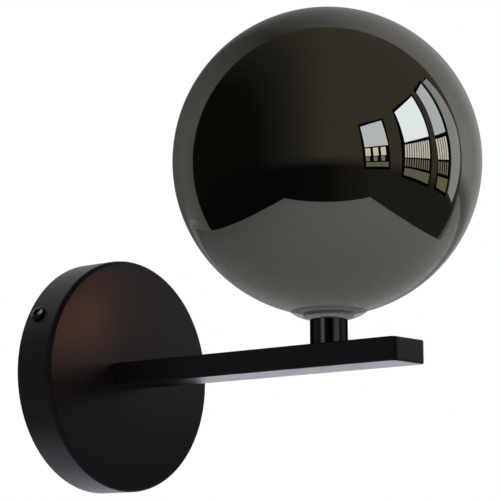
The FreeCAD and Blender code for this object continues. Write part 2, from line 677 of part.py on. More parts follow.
def thin_nut(label, level):
    """A thin brass hexagon nut on the threaded tube, its corners chamfered by a cone."""
    hexagon = doc.addObject("Part::Prism", label + "_hexagon")
    hexagon.Polygon = 6
    hexagon.setExpression("Circumradius", bound("nut_flats / 2 / cos(30)"))
    hexagon.setExpression("Height", bound("nut_height"))
    dome = doc.addObject("Part::Cone", label + "_chamfer")
    dome.setExpression("Radius1", bound("nut_flats / 2 + 2 * nut_height"))
    dome.setExpression("Radius2", bound("nut_flats / 2 - nut_face"))
    dome.setExpression("Height", bound("nut_height"))
    domed = doc.addObject("Part::Common", label + "_domed")
    domed.Base = hexagon
    domed.Tool = dome
    nut = cut_named(label, domed,
                    cylinder(label + "_bore", "nipple_diameter / 2", "nut_height + 2 * overrun",
                             "-overrun"))
    place(nut, y="-arm_reach", z=level)


def toothed_washer(label, plane, axis, diameter, bore):
    """A spring-steel washer with notches cut into its rim."""
    washer = body_named(label)
    ring = sketch_on(washer, label + "_ring", plane)
    circle(ring, "0", "0", f"({diameter}) / 2")
    circle(ring, "0", "0", f"({bore}) / 2")
    pad(washer, ring, "washer_thickness")
    notch = sketch_on(washer, label + "_notch", plane)
    rectangle(notch, f"({diameter}) / 2 - notch_depth", "-notch_width / 2",
              f"({diameter}) / 2 + overrun", "notch_width / 2")
    notch_cut = pocket(washer, notch, "washer_thickness", reverse=True)
    pattern = around(washer, [notch_cut], axis, int(value("washer_teeth")))
    pattern.setExpression("Occurrences", bound("washer_teeth"))
    return washer


# ---------------------------------------------------------------- seat, collar and globe

def globe_seat():
    """The smoky silicone dish between stem and glass. It closes the globe's mouth."""
    seat = body_named("globe_seat")
    section = sketch_on(seat, "seat_section", "XZ_Plane")
    ball = "(globe_diameter / 2 + globe_clearance)"
    rim = "(seat_diameter / 2)"
    step = "(globe_neck_bore / 2 + hole_play)"
    rim_top = f"(globe_centre_height - sqrt({ball}^2 - {rim}^2))"
    step_top = f"(globe_centre_height - sqrt({ball}^2 - {step}^2))"
    outline(section,
            ("washer_bore / 2", STEM_TOP),
            ("stem_diameter / 2 + hole_play", STEM_TOP, "seat_dish", "left"),
            (rim, f"{rim_top} - seat_rim"), (rim, rim_top, ball, "right"),
            (step, step_top), (step, SEAT_TOP), ("washer_bore / 2", SEAT_TOP))
    turn(seat, section)
    place(seat, y="-arm_reach")


def globe_collar():
    """The turned collar inside the globe's neck. Its outside carries the globe's thread."""
    collar = body_named("globe_collar")
    section = sketch_on(collar, "collar_section", "XZ_Plane")
    outside, top = "(collar_diameter / 2)", "collar_height"
    inside = f"({outside} - collar_wall)"
    outline(section,
            ("washer_bore / 2", "0"), (f"{outside} - collar_edge", "0"), (outside, "collar_edge"),
            (outside, f"{top} - collar_edge"), (f"{outside} - collar_edge", top), (inside, top),
            (inside, "collar_base"), ("washer_bore / 2", "collar_base"))
    turn(collar, section)
    place(collar, y="-arm_reach", z=SEAT_TOP)


def globe_glass():
    """The blown globe: a sphere whose mouth runs inward as a neck, hidden from outside."""
    glass = body_named("globe_glass")
    section = sketch_on(glass, "globe_section", "XZ_Plane")
    ball, hollow = "(globe_diameter / 2)", "(globe_diameter / 2 - globe_wall)"
    bore = "(globe_neck_bore / 2)"
    neck = f"({bore} + globe_neck_wall)"
    neck_top = "(globe_neck_top - globe_centre_height)"
    lip = f"({bore} + globe_lip)"
    outline(section,
            ("0", ball, ball, "right"),
            (lip, f"-sqrt({ball}^2 - {lip}^2)", "globe_lip_radius", "right"),
            (bore, f"-sqrt({ball}^2 - {lip}^2) + globe_lip_rise"),
            (bore, f"{neck_top} - globe_neck_edge"), (f"{bore} + globe_neck_edge", neck_top),
            (f"{neck} - globe_neck_edge", neck_top), (neck, f"{neck_top} - globe_neck_edge"),
            (neck, f"-sqrt({hollow}^2 - {neck}^2)", hollow, "left"),
            ("0", hollow))
    turn(glass, section)
    fillet_ring, below_edge = value(neck), value(f"{neck_top} - 2 * globe_neck_edge")
    round_edges(glass, "globe_neck_fillet", lambda edge: edge.BoundBox.ZLength < 1e-4
                and edge.BoundBox.ZMax < below_edge
                and abs(edge.BoundBox.XMax - fillet_ring) < 1e-4)
    place(glass, y="-arm_reach", z="globe_centre_height")


# ---------------------------------------------------------------- lampholder

def lampholder_strap():
    """A bent steel strap, clamped by the upper nut, whose two legs carry the lampholder."""
    strap = body_named("lampholder_strap")
    sheet, reach, tall = "strap_thickness", "strap_leg_reach", "strap_height"
    section = sketch_on(strap, "strap_section", "YZ_Plane")
    outline(section,
            (f"-{reach}", "0"), (reach, "0"), (reach, tall), ("strap_tab_end", tall),
            ("strap_tab_end", f"{tall} - {sheet}"), (f"{reach} - {sheet}", f"{tall} - {sheet}"),
            (f"{reach} - {sheet}", sheet), (f"-({reach} - {sheet})", sheet),
            (f"-({reach} - {sheet})", f"{tall} - {sheet}"), ("-strap_tab_end", f"{tall} - {sheet}"),
            ("-strap_tab_end", tall), (f"-{reach}", tall))
    pad(strap, section, "strap_leg_width", both_ways=True)
    outer, inner = value(reach), value(f"{reach} - {sheet}")
    round_edges(strap, f"strap_bend + {sheet}", lambda edge: edge.BoundBox.ZLength < 1e-4
                and (flat_at(edge, "Y", outer) or flat_at(edge, "Y", -outer)))
    round_edges(strap, "strap_bend", lambda edge: edge.BoundBox.ZLength < 1e-4
                and (flat_at(edge, "Y", inner) or flat_at(edge, "Y", -inner)))
    disc = sketch_on(strap, "strap_disc_outline", "XY_Plane")
    circle(disc, "0", "0", "strap_disc / 2")
    pad(strap, disc, "strap_thickness")
    hole = sketch_on(strap, "strap_hole", "XY_Plane")
    circle(hole, "0", "0", "washer_bore / 2")
    pocket(strap, hole, "strap_thickness", reverse=True)
    taps = sketch_on(strap, "strap_taps", "XY_Plane", offset="strap_height")
    circle(taps, "0", "holder_screw_spacing / 2", "holder_screw / 2")
    circle(taps, "0", "-holder_screw_spacing / 2", "holder_screw / 2")
    pocket(strap, taps, "strap_thickness")
    place(strap, y="-arm_reach", z=COLLAR_FLOOR)


def lampholder_body():
    """The ceramic lampholder: a round foot, a flat-sided body and a slot for the bulb."""
    holder = body_named("lampholder_body")
    blank = sketch_on(holder, "holder_blank", "XY_Plane")
    circle(blank, "0", "0", "holder_diameter / 2")
    pad(holder, blank, "holder_height")
    flats = sketch_on(holder, "holder_flats", "YZ_Plane")
    for side in ("", "-"):
        near, far = f"{side}(holder_body_width / 2)", f"{side}(holder_diameter / 2 + overrun)"
        low, high = sorted((near, far), key=value)
        rectangle(flats, low, "holder_foot", high, "holder_height + overrun")
    pocket(holder, flats, "holder_diameter + 2 * overrun", both_ways=True)
    slot = sketch_on(holder, "holder_slot", "XY_Plane", offset="holder_height")
    rounded_rectangle(slot, "socket_length", "socket_width", "socket_corner")
    pocket(holder, slot, "socket_depth")
    for side in ("", "-"):
        word = "right" if side == "" else "left"
        chamber = sketch_on(holder, "chamber_" + word, "XY_Plane",
                            start=(side + "chamber_middle", "0"))
        rounded_rectangle(chamber, "chamber_length", "chamber_width", "chamber_corner")
        pocket(holder, chamber, "chamber_depth", reverse=True)
    pins = sketch_on(holder, "holder_pin_holes", "XY_Plane")
    circle(pins, "pin_spacing / 2", "0", "pin_diameter / 2 + pin_hole_play")
    circle(pins, "-pin_spacing / 2", "0", "pin_diameter / 2 + pin_hole_play")
    pocket(holder, pins, "holder_height", reverse=True)
    screws = sketch_on(holder, "holder_screw_holes", "XY_Plane")
    circle(screws, "0", "holder_screw_spacing / 2", "holder_screw / 2 + close_play")
    circle(screws, "0", "-holder_screw_spacing / 2", "holder_screw / 2 + close_play")
    pocket(holder, screws, "holder_foot", reverse=True)
    place(holder, y="-arm_reach", z=HOLDER_FLOOR)


def lampholder_contacts():
    """Two bronze clips that grip the bulb's pins."""
    contacts = body_named("lampholder_contacts")
    section = sketch_on(contacts, "contact_section", "XZ_Plane", start=("pin_spacing / 2", "0"))
    inner = "(contact_gap / 2)"
    outer = f"({inner} + contact_sheet)"
    top = "(contact_floor + contact_height)"
    outline(section,
            (f"-{outer}", "contact_floor"), (outer, "contact_floor"), (outer, top), (inner, top),
            (inner, "contact_floor + contact_sheet"), (f"-{inner}", "contact_floor + contact_sheet"),
            (f"-{inner}", top), (f"-{outer}", top))
    clip = pad(contacts, section, "contact_width", both_ways=True)
    mirrored(contacts, [clip], "YZ_Plane")
    place(contacts, y="-arm_reach", z=HOLDER_FLOOR)


def lampholder_screws():
    """Two small screws that hold the lampholder's foot down on the strap."""
    screws = body_named("lampholder_screws")
    section = sketch_on(screws, "holder_screw_section", "YZ_Plane",
                        start=("holder_screw_spacing / 2", "holder_foot"))
    screw_section(section, "holder_screw", "holder_screw_length", "holder_screw_head",
                  "holder_screw_head_height")
    first = turn(screws, section)
    mirrored(screws, [first], "XZ_Plane")
    place(screws, y="-arm_reach", z=HOLDER_FLOOR)


# ---------------------------------------------------------------- bulb

def bulb():
    """A two-pin capsule bulb: base with a flat tongue, pins, light carrier and cover."""
    base = body_named("bulb_base")
    tongue = sketch_on(base, "bulb_tongue", "XY_Plane", offset="bulb_rest_gap")
    rounded_rectangle(tongue, "socket_length - 2 * bulb_tongue_play",
                      "socket_width - 2 * bulb_tongue_play", "socket_corner")
    pad(base, tongue, "bulb_shoulder - bulb_rest_gap")
    drum = sketch_on(base, "bulb_drum", "XY_Plane", offset="bulb_shoulder")
    circle(drum, "0", "0", "bulb_diameter / 2")
    pad(base, drum, "bulb_base_height")
    shoulder, outside = value("bulb_shoulder"), value("bulb_diameter / 2")
    round_edges(base, "bulb_base_edge", lambda edge: flat_at(edge, "Z", shoulder)
                and abs(edge.BoundBox.XMax - outside) < 1e-4)
    roots = sketch_on(base, "bulb_pin_roots", "XY_Plane", offset="bulb_rest_gap")
    circle(roots, "pin_spacing / 2", "0", "pin_diameter / 2")
    circle(roots, "-pin_spacing / 2", "0", "pin_diameter / 2")
    pocket(base, roots, "bulb_pin_root", reverse=True)
    place(base, y="-arm_reach", z=SOCKET_FLOOR)

    pins = body_named("bulb_pins")
    section = sketch_on(pins, "bulb_pin_section", "XZ_Plane", start=("pin_spacing / 2", "0"))
    low = "(bulb_rest_gap - bulb_pin_length)"
    outline(section, ("0", low), ("pin_diameter / 2 - pin_taper", low),
            ("pin_diameter / 2", f"{low} + pin_taper_length"),
            ("pin_diameter / 2", "bulb_rest_gap + bulb_pin_root"),
            ("0", "bulb_rest_gap + bulb_pin_root"))
    pin = turn(pins, section)
    mirrored(pins, [pin], "YZ_Plane")
    place(pins, y="-arm_reach", z=SOCKET_FLOOR)

    core = doc.addObject("Part::Prism", "bulb_core")
    core.Label = "bulb_core"
    core.Polygon = 6
    core.setExpression("Circumradius", bound("bulb_core_diameter / 2 / cos(30)"))
    core.setExpression("Height", bound("bulb_core_height"))
    PARTS.append(core)
    place(core, y="-arm_reach", z=f"{SOCKET_FLOOR} + bulb_shoulder + bulb_base_height")

    cover = body_named("bulb_cover")
    section = sketch_on(cover, "bulb_cover_section", "XZ_Plane")
    outer = "(bulb_diameter / 2)"
    inner = f"({outer} - bulb_cover_wall)"
    spring = f"(bulb_cover_height - {outer})"
    outline(section, (inner, "0"), (outer, "0"), (outer, spring, outer, "left"),
            ("0", "bulb_cover_height"), ("0", "bulb_cover_height - bulb_cover_wall", inner, "right"),
            (inner, spring))
    turn(cover, section)
    place(cover, y="-arm_reach", z=f"{SOCKET_FLOOR} + bulb_shoulder + bulb_base_height")


# ---------------------------------------------------------------- terminal block

def terminal_block():
    """A three-pole block on the wall plate: moulded body, brass clamps and their screws."""
    block = body_named("terminal_block")
    blank = sketch_on(block, "block_blank", "XZ_Plane")
    rounded_rectangle(blank, "3 * pole_pitch + 2 * block_end_wall", "block_height",
                      "block_corner")
    pad(block, blank, "block_depth")
    tunnels = sketch_on(block, "block_tunnels", "XY_Plane")
    cavities = sketch_on(block, "block_cavities", "XY_Plane")
    wells = sketch_on(block, "block_wells", "XZ_Plane", offset="block_depth")
    for pole in ("-pole_pitch", "0", "pole_pitch"):
        circle(tunnels, pole, "-block_depth / 2", "wire_tunnel / 2")
        rectangle(cavities, f"({pole}) - clamp_size / 2", "-block_depth / 2 - clamp_size / 2",
                  f"({pole}) + clamp_size / 2", "-block_depth / 2 + clamp_size / 2")
        circle(wells, pole, "clamp_screw_spacing / 2", "terminal_head / 2 + close_play")
        circle(wells, pole, "-clamp_screw_spacing / 2", "terminal_head / 2 + close_play")
    pocket(block, tunnels, "block_height + 2 * overrun", both_ways=True)
    pocket(block, cavities, "clamp_length", both_ways=True)
    pocket(block, wells, "block_depth / 2 - clamp_size / 2")
    hole = sketch_on(block, "block_screw_hole", "XZ_Plane", offset="block_depth")
    circle(hole, "pole_pitch / 2", "0", "small_screw / 2 + close_play")
    pocket(block, hole, "block_depth")
    place(block, y="-plate_thickness", z="-block_drop")

    clamps = body_named("terminal_clamps")
    section = sketch_on(clamps, "clamp_section", "XY_Plane")
    taps = sketch_on(clamps, "clamp_taps", "XZ_Plane", offset="block_depth / 2 + clamp_size / 2")
    for pole in ("-pole_pitch", "0", "pole_pitch"):
        rectangle(section, f"({pole}) - clamp_size / 2", "-block_depth / 2 - clamp_size / 2",
                  f"({pole}) + clamp_size / 2", "-block_depth / 2 + clamp_size / 2")
        circle(section, pole, "-block_depth / 2", "clamp_bore / 2")
        circle(taps, pole, "clamp_screw_spacing / 2", "small_screw / 2")
        circle(taps, pole, "-clamp_screw_spacing / 2", "small_screw / 2")
    pad(clamps, section, "clamp_length", both_ways=True)
    pocket(clamps, taps, "clamp_size / 2")
    place(clamps, y="-plate_thickness", z="-block_drop")

    screws = body_named("terminal_screws")
    section = sketch_on(screws, "terminal_screw_section", "XY_Plane", turn="180",
                        start=("-pole_pitch", "-block_depth / 2 - clamp_size / 2"),
                        offset="-clamp_screw_spacing / 2")
    screw_section(section, "small_screw", "clamp_size / 2 - lead_diameter / 2 - close_play",
                  "terminal_head", "terminal_head_height")
    first = turn(screws, section)
    row = screws.newObject("PartDesign::LinearPattern", "terminal_screw_row")
    row.Direction = (origin_feature(screws, "X_Axis"), [""])
    row.setExpression("Length", bound("2 * pole_pitch"))
    row.Occurrences = 3
    both_ends = screws.newObject("PartDesign::Mirrored", "terminal_screw_ends")
    both_ends.MirrorPlane = (origin_feature(screws, "XY_Plane"), [""])
    every_screw = screws.newObject("PartDesign::MultiTransform", "terminal_screw_rows")
    every_screw.Originals = [first]
    every_screw.Transformations = [row, both_ends]
    finish_feature(screws, every_screw)
    place(screws, y="-plate_thickness", z="-block_drop")

    holder = body_named("terminal_block_screw")
    section = sketch_on(holder, "block_screw_section", "XY_Plane", turn="180",
                        start=("pole_pitch / 2", "-plate_thickness - block_depth"))
    screw_section(section, "small_screw", "block_screw_length", "block_screw_head",
                  "block_screw_head_height")
    turn(holder, section)
    place(holder, z="-block_drop")


# ---------------------------------------------------------------- earth

def earth_parts():
    """The earth screw on the wall plate, with its toothed washer and crimped tag."""
    washer = toothed_washer("earth_washer", "XZ_Plane", "Y_Axis", "tag_ring",
                            "screw_thread + 2 * close_play")
    place(washer, x="earth_screw_side", y="-plate_thickness", z="earth_screw_rise")

    tag = body_named("earth_tag")
    ring = sketch_on(tag, "tag_ring_outline", "XZ_Plane")
    circle(ring, "0", "0", "tag_ring / 2")
    pad(tag, ring, "tag_thickness")
    tongue = sketch_on(tag, "tag_tongue", "XZ_Plane")
    rectangle(tongue, "-tag_barrel / 2", "-tag_reach + tag_barrel_length - tag_overlap",
              "tag_barrel / 2", "0")
    pad(tag, tongue, "tag_thickness")
    barrel = sketch_on(tag, "tag_barrel_section", "XY_Plane", offset="-tag_reach")
    circle(barrel, "0", "-tag_barrel / 2", "tag_barrel / 2")
    pad(tag, barrel, "tag_barrel_length")
    bore = sketch_on(tag, "tag_bore", "XY_Plane", offset="-tag_reach")
    circle(bore, "0", "-tag_barrel / 2", "lead_diameter / 2")
    pocket(tag, bore, "tag_barrel_length", reverse=True)
    hole = sketch_on(tag, "tag_hole", "XZ_Plane")
    circle(hole, "0", "0", "screw_thread / 2 + close_play")
    pocket(tag, hole, "tag_thickness", reverse=True)
    place(tag, x="earth_screw_side", y="-plate_thickness - washer_thickness", z="earth_screw_rise")

    screw = body_named("earth_screw")
    section = sketch_on(screw, "earth_screw_section", "XY_Plane", turn="180")
    screw_section(section, "screw_thread", "earth_screw_length", "screw_head", "screw_head_height")
    turn(screw, section)
    place(screw, x="earth_screw_side", y="-plate_thickness - washer_thickness - tag_thickness",
          z="earth_screw_rise")


# ---------------------------------------------------------------- leads

SHARE_OF_RUN = 0.45


def rounded_route(label, points, radii):
    """Straight runs joined by tangent arcs. A corner without a radius gets the largest that fits."""
    edges = []
    here = points[0]
    for i in range(1, len(points) - 1):
        before, corner, after = points[i - 1], points[i], points[i + 1]
        back, ahead = (before - corner), (after - corner)
        half_turn = (math.pi - back.getAngle(ahead)) / 2
        shorter = min(back.Length, ahead.Length)
        radius = radii.get(i, SHARE_OF_RUN * shorter / math.tan(half_turn))
        reach = radius * math.tan(half_turn)
        start = corner + back.normalize() * reach
        end = corner + ahead.normalize() * reach
        bisector = (back + ahead).normalize()
        middle = corner + bisector * (radius / math.cos(half_turn) - radius)
        edges.append(Part.LineSegment(here, start).toShape())
        edges.append(Part.Arc(start, middle, end).toShape())
        print(f"{label}: turn of {math.degrees(2 * half_turn):.0f} degrees, radius {radius:.1f} mm")
        here = end
    edges.append(Part.LineSegment(here, points[-1]).toShape())
    return Part.Wire(edges)


def lead(label, route, radii):
    """One insulated lead along its route."""
    points = [V(*(value(text) for text in point)) for point in route]
    path = doc.addObject("Part::Feature", label + "_path")
    path.Shape = rounded_route(label, points, radii)
    section = doc.addObject("Part::Circle", label + "_section")
    section.setExpression("Radius", bound("lead_diameter / 2"))
    section.Placement = FreeCAD.Placement(
        points[0], FreeCAD.Rotation(V(0, 0, 1), points[1] - points[0]))
    tube = doc.addObject("Part::Sweep", label)
    tube.Label = label
    tube.Sections = [section]
    tube.Spine = (path, [f"Edge{i}" for i in range(1, len(path.Shape.Edges) + 1)])
    tube.Solid = True
    doc.recompute()
    PARTS.append(tube)
    expected = math.pi * value("lead_diameter / 2") ** 2 * path.Shape.Length
    print(f"{label}: {path.Shape.Length:.0f} mm, volume {tube.Shape.Volume:.1f} of {expected:.1f}")


def leads():
    """Live and neutral run from the block through the arm to the contacts, earth to its tag."""
    wire_line = "-plate_thickness - block_depth / 2"
    block_turns, bush_turn, riser_turn = (1, 2), 3, 8
    radii = {corner: value("lead_bend") for corner in block_turns}
    radii[bush_turn] = value("lead_bush_bend")
    radii[riser_turn] = value("lead_riser_bend")
    for label, side, pole in (("lead_live", "-", "-pole_pitch"), ("lead_neutral", "", "0")):
        near = side + "lead_spacing / 2"
        spread = side + "lead_rise_spacing / 2"
        riser = "-arm_reach - lead_rise_setback"
        route = [
            (pole, wire_line, "-28"),
            (pole, wire_line, "-21"),
            (near, wire_line, "-12"),
            (near, wire_line, "0"),
            (near, "-36", "0"),
            (side + "1.5", "-56", "-2.4"),
            (spread, "-82", "-lead_floor"),
            (side + "3.2", "-116", "-lead_floor"),
            (spread, riser, "-lead_floor"),
            (spread, riser, f"{HOLDER_FLOOR} + 5"),
        ]
        lead(label, route, radii)
    tag_line = "-plate_thickness - washer_thickness - tag_barrel / 2"
    lead("lead_earth", [
        ("pole_pitch", wire_line, "-28"),
        ("pole_pitch", wire_line, "-16"),
        ("earth_screw_side", tag_line, "2"),
        ("earth_screw_side", tag_line, "earth_screw_rise - tag_reach + 4"),
    ], {})


# ---------------------------------------------------------------- the whole lamp

wall_plate()
canopy_cover()
side_screws()
arm_screws()
wire_bush()
arm_bar()
arm_end_cap()
arm_root_block()
stem_tube()
threaded_tube()
thin_nut("lower_nut", LOWER_NUT)
thin_nut("upper_nut", UPPER_NUT)
for level_name, level in (("lower_lock_washer", f"{ARM_CEILING} - washer_thickness"),
                          ("upper_lock_washer", f"{COLLAR_FLOOR} + strap_thickness")):
    lock_washer = toothed_washer(level_name, "XY_Plane", "Z_Axis", "washer_diameter", "washer_bore")
    place(lock_washer, y="-arm_reach", z=level)
globe_seat()
globe_collar()
globe_glass()
lampholder_strap()
lampholder_body()
lampholder_contacts()
lampholder_screws()
bulb()
terminal_block()
earth_parts()
leads()

doc.recompute()
for item in doc.Objects:
    if "Invalid" in item.State or "Error" in item.State:
        raise RuntimeError(f"{item.Label} did not build: {item.State}")
for part in PARTS:
    if part.Shape.isNull() or not part.Shape.isValid():
        raise RuntimeError(f"{part.Label} has no valid shape")

os.makedirs("parts", exist_ok=True)
for part in PARTS:
    part.Shape.exportStep(f"parts/{part.Label}.step")
    print(f"{part.Label}: {len(part.Shape.Solids)} solid(s), {part.Shape.Volume:.1f} mm3")
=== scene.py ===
import math
import bmesh
import bpy
from mathutils import Matrix, Vector


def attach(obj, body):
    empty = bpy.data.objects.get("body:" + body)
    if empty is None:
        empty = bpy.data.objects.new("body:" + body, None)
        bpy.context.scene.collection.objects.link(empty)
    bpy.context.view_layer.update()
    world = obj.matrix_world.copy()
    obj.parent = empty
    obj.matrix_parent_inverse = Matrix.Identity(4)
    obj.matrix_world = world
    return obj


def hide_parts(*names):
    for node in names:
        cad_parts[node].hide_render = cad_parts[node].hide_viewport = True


# A globe wall sconce: round canopy, flat arm, short stem and a mirrored smoke-glass globe.
# Metres. The wall is the plane Y = 0, the lamp reaches out along -Y, and +Z is up.
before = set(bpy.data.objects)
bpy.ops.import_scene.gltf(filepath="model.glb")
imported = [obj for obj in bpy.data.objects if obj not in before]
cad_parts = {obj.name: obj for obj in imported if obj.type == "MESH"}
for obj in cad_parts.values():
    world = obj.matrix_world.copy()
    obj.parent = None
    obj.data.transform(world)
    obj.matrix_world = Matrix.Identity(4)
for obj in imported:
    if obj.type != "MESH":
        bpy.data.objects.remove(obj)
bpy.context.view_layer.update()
MM = 0.001


# ------------------------------------------------------------------ camera
# A long lens looks up a little at the lamp, from its left front and about a metre away, as the
# lamp is seen from below when it hangs on a wall.

def put_in_scene(made):
    bpy.context.scene.collection.objects.link(made)
    return made


CAMERA_PLACE = Vector((-0.74151, -0.71242, -0.10209))
CAMERA_HEADING = math.radians(50.555)
CAMERA_RISE = math.radians(9.429)
CAMERA_ROLL = math.radians(-0.3126)
camera = put_in_scene(bpy.data.objects.new("camera", bpy.data.cameras.new("camera")))
camera.data.sensor_width = 36.0
camera.data.lens = 140.7
camera.matrix_world = (Matrix.Translation(CAMERA_PLACE)
                       @ Matrix.Rotation(-CAMERA_HEADING, 4, "Z")
                       @ Matrix.Rotation(math.pi / 2 + CAMERA_RISE, 4, "X")
                       @ Matrix.Rotation(CAMERA_ROLL, 4, "Z"))
bpy.context.scene.camera = camera
bpy.context.scene.view_settings.view_transform = "Standard"


# ------------------------------------------------------------------ floor and studio
# A plain studio: a pale painted floor under the lamp and white all round. The lights that the
# lamp mirrors are hung round it at the end, when all its pieces are there.

def linear(hex_colour):
    """An sRGB colour such as #808080 as the linear RGBA that Blender works in."""
    def channel(pair):
        level = int(pair, 16) / 255
        return level / 12.92 if level <= 0.04045 else ((level + 0.055) / 1.055) ** 2.4
    return (*(channel(hex_colour[i:i + 2]) for i in (1, 3, 5)), 1.0)


def add_node(tree, kind, inputs=None, **settings):
    """One node with its settings. An input takes a plain value or another node's socket."""
    made = tree.nodes.new(kind)
    for name, setting in settings.items():
        setattr(made, name, setting)
    for name, given in (inputs or {}).items():
        if isinstance(given, bpy.types.NodeSocket):
            tree.links.new(given, made.inputs[name])
        else:
            made.inputs[name].default_value = given
    return made


def new_material(name):
    """An empty material: its tree and the socket that its shader goes to."""
    material = bpy.data.materials.new(name)
    material.use_nodes = True
    material.node_tree.nodes.clear()
    output = add_node(material.node_tree, "ShaderNodeOutputMaterial")
    return material, material.node_tree, output.inputs["Surface"]


def mesh_object(name, mesh, material=None):
    made = put_in_scene(bpy.data.objects.new(name, mesh))
    if material:
        mesh.materials.append(material)
    return made


def polygons(name, material, faces):
    """A mesh of separate flat faces, each a list of its corners."""
    mesh = bpy.data.meshes.new(name)
    corners = [corner for face in faces for corner in face]
    counts = [len(face) for face in faces]
    starts = [sum(counts[:i]) for i in range(len(faces))]
    mesh.from_pydata(corners, [], [tuple(range(a, a + n)) for a, n in zip(starts, counts)])
    return mesh_object(name, mesh, material)


def facing(turn, rise=0.0):
    """The direction at this turn from -Y towards +X, and this rise, both in degrees."""
    turn, rise = math.radians(turn), math.radians(rise)
    return Vector((math.sin(turn) * math.cos(rise), -math.cos(turn) * math.cos(rise), math.sin(rise)))


world = bpy.data.worlds.new("white_studio")
world.use_nodes = True
world.node_tree.nodes["Background"].inputs["Color"].default_value = linear("#ffffff")
world.node_tree.nodes["Background"].inputs["Strength"].default_value = 1.0
bpy.context.scene.world = world

LAMP_AXIS = Vector((0.0, -0.151, 0.0))       # the upright line through stem, globe and bulb
FLOOR_LEVEL = -0.7
FLOOR_RADIUS = 2.5
PAPER_GRAINS = 300.0                         # per metre


def painted_paper(name, colour):
    material, tree, surface = new_material(name)
    place = add_node(tree, "ShaderNodeTexCoord")
    grain = add_node(tree, "ShaderNodeTexNoise",
                     {"Vector": place.outputs["Object"], "Scale": PAPER_GRAINS})
    relief = add_node(tree, "ShaderNodeBump", {"Height": grain.outputs["Fac"], "Strength": 0.05,
                                               "Distance": 0.5 * MM})
    paper = add_node(tree, "ShaderNodeBsdfPrincipled",
                     {"Base Color": linear(colour), "Roughness": 0.7,
                      "Normal": relief.outputs["Normal"]})
    tree.links.new(paper.outputs[0], surface)
    return material


middle = LAMP_AXIS + Vector((0, 0, FLOOR_LEVEL))
rim = [middle + facing(turn) * FLOOR_RADIUS for turn in range(0, 360, 3)]
floor = polygons("floor", painted_paper("pale_floor", "#f6f6f4"), [rim])
floor.visible_glossy = False
floor.visible_shadow = False


# ------------------------------------------------------------------ wall plate
# A stamped disc of steel, 2 mm thick, with slots for the wall screws and two lugs bent out for the
# canopy's side screws. Barrel plating in bright zinc leaves it bluish grey and faintly cloudy.

def colour_ramp(tree, along, stops):
    """Colours along a value from 0 to 1, from a list of (place, colour)."""
    ramp = add_node(tree, "ShaderNodeValToRGB", {"Fac": along})
    elements = ramp.color_ramp.elements
    while len(elements) < len(stops):
        elements.new(1.0)
    for element, (place, colour) in zip(elements, stops):
        element.position = place
        element.color = linear(colour)
    return ramp.outputs["Color"]


def metal(name, colours, roughness, grain_mm, unevenness=0.08):
    """Bare or plated metal whose colour and gloss wander a little at the size of its grain."""
    material, tree, surface = new_material(name)
    place = add_node(tree, "ShaderNodeTexCoord")
    cloud = add_node(tree, "ShaderNodeTexNoise",
                     {"Vector": place.outputs["Object"], "Scale": 1 / (grain_mm * MM),
                      "Detail": 4.0, "Roughness": 0.6})
    tint = colour_ramp(tree, cloud.outputs["Fac"], [(0.3, colours[0]), (0.7, colours[1])])
    gloss = add_node(tree, "ShaderNodeMapRange",
                     {"Value": cloud.outputs["Fac"], "To Min": roughness - unevenness,
                      "To Max": roughness + unevenness})
    relief = add_node(tree, "ShaderNodeBump", {"Height": cloud.outputs["Fac"], "Strength": 0.15,
                                               "Distance": 0.02 * MM})
    shader = add_node(tree, "ShaderNodeBsdfPrincipled",
                      {"Base Color": tint, "Metallic": 1.0,
                       "Roughness": gloss.outputs["Result"], "Normal": relief.outputs["Normal"]})
    tree.links.new(shader.outputs[0], surface)
    return material


def smoothed(mesh, angle=35):
    """Smooth shading, with every edge that turns by more than this many degrees kept crisp."""
    if "custom_normal" in mesh.attributes:
        mesh.attributes.remove(mesh.attributes["custom_normal"])
    mesh.shade_smooth()
    mesh.set_sharp_from_angle(angle=math.radians(angle))
    return mesh


def clean_copy(node):
    """A CAD part's mesh with its doubles merged and its flat faces made whole."""
    shape = bmesh.new()
    shape.from_mesh(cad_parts[node].data)
    bmesh.ops.remove_doubles(shape, verts=shape.verts, dist=0.002 * MM)
    bmesh.ops.dissolve_limit(shape, angle_limit=math.radians(0.2), verts=shape.verts,
                             edges=shape.edges)
    mesh = bpy.data.meshes.new(node)
    shape.to_mesh(mesh)
    shape.free()
    return smoothed(mesh)


def fitted(name, mesh, material, body, slot, *nodes):
    """A finished piece in the place of CAD parts: it rides on their body. The slot is not used."""
    mesh.materials.clear()
    piece = mesh_object(name, mesh, material)
    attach(piece, body)
    if nodes:
        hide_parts(*nodes)
    return piece


def deburred(piece, width, segments=2):
    """Sharp edges broken by this many millimetres, as tumbling, stamping or a mould leaves them."""
    edge = piece.modifiers.new("broken_edges", "BEVEL")
    edge.width = width * MM
    edge.segments = segments
    edge.limit_method = "ANGLE"
    edge.angle_limit = math.radians(40)
    edge.harden_normals = True
    return piece


zinc = metal("bright_zinc_plating", ("#a9b0b8", "#c9ced2"), 0.34, 6.0)
deburred(fitted("stamped_wall_plate", clean_copy("wall_plate"), zinc, "fixture",
                "zinc_plated_steel", "wall_plate"), 0.25)


# ------------------------------------------------------------------ screws
# Every screw of the lamp: a pan head with a cross or a slot punched in it, over a rolled thread.
# They are headed and rolled from wire, so the threads have rounded roots and fade out at the ends.

def point_mesh(name, corners, faces=()):
    mesh = bpy.data.meshes.new(name)
    mesh.from_pydata([Vector(corner) * MM for corner in corners], [], faces)
    return mesh


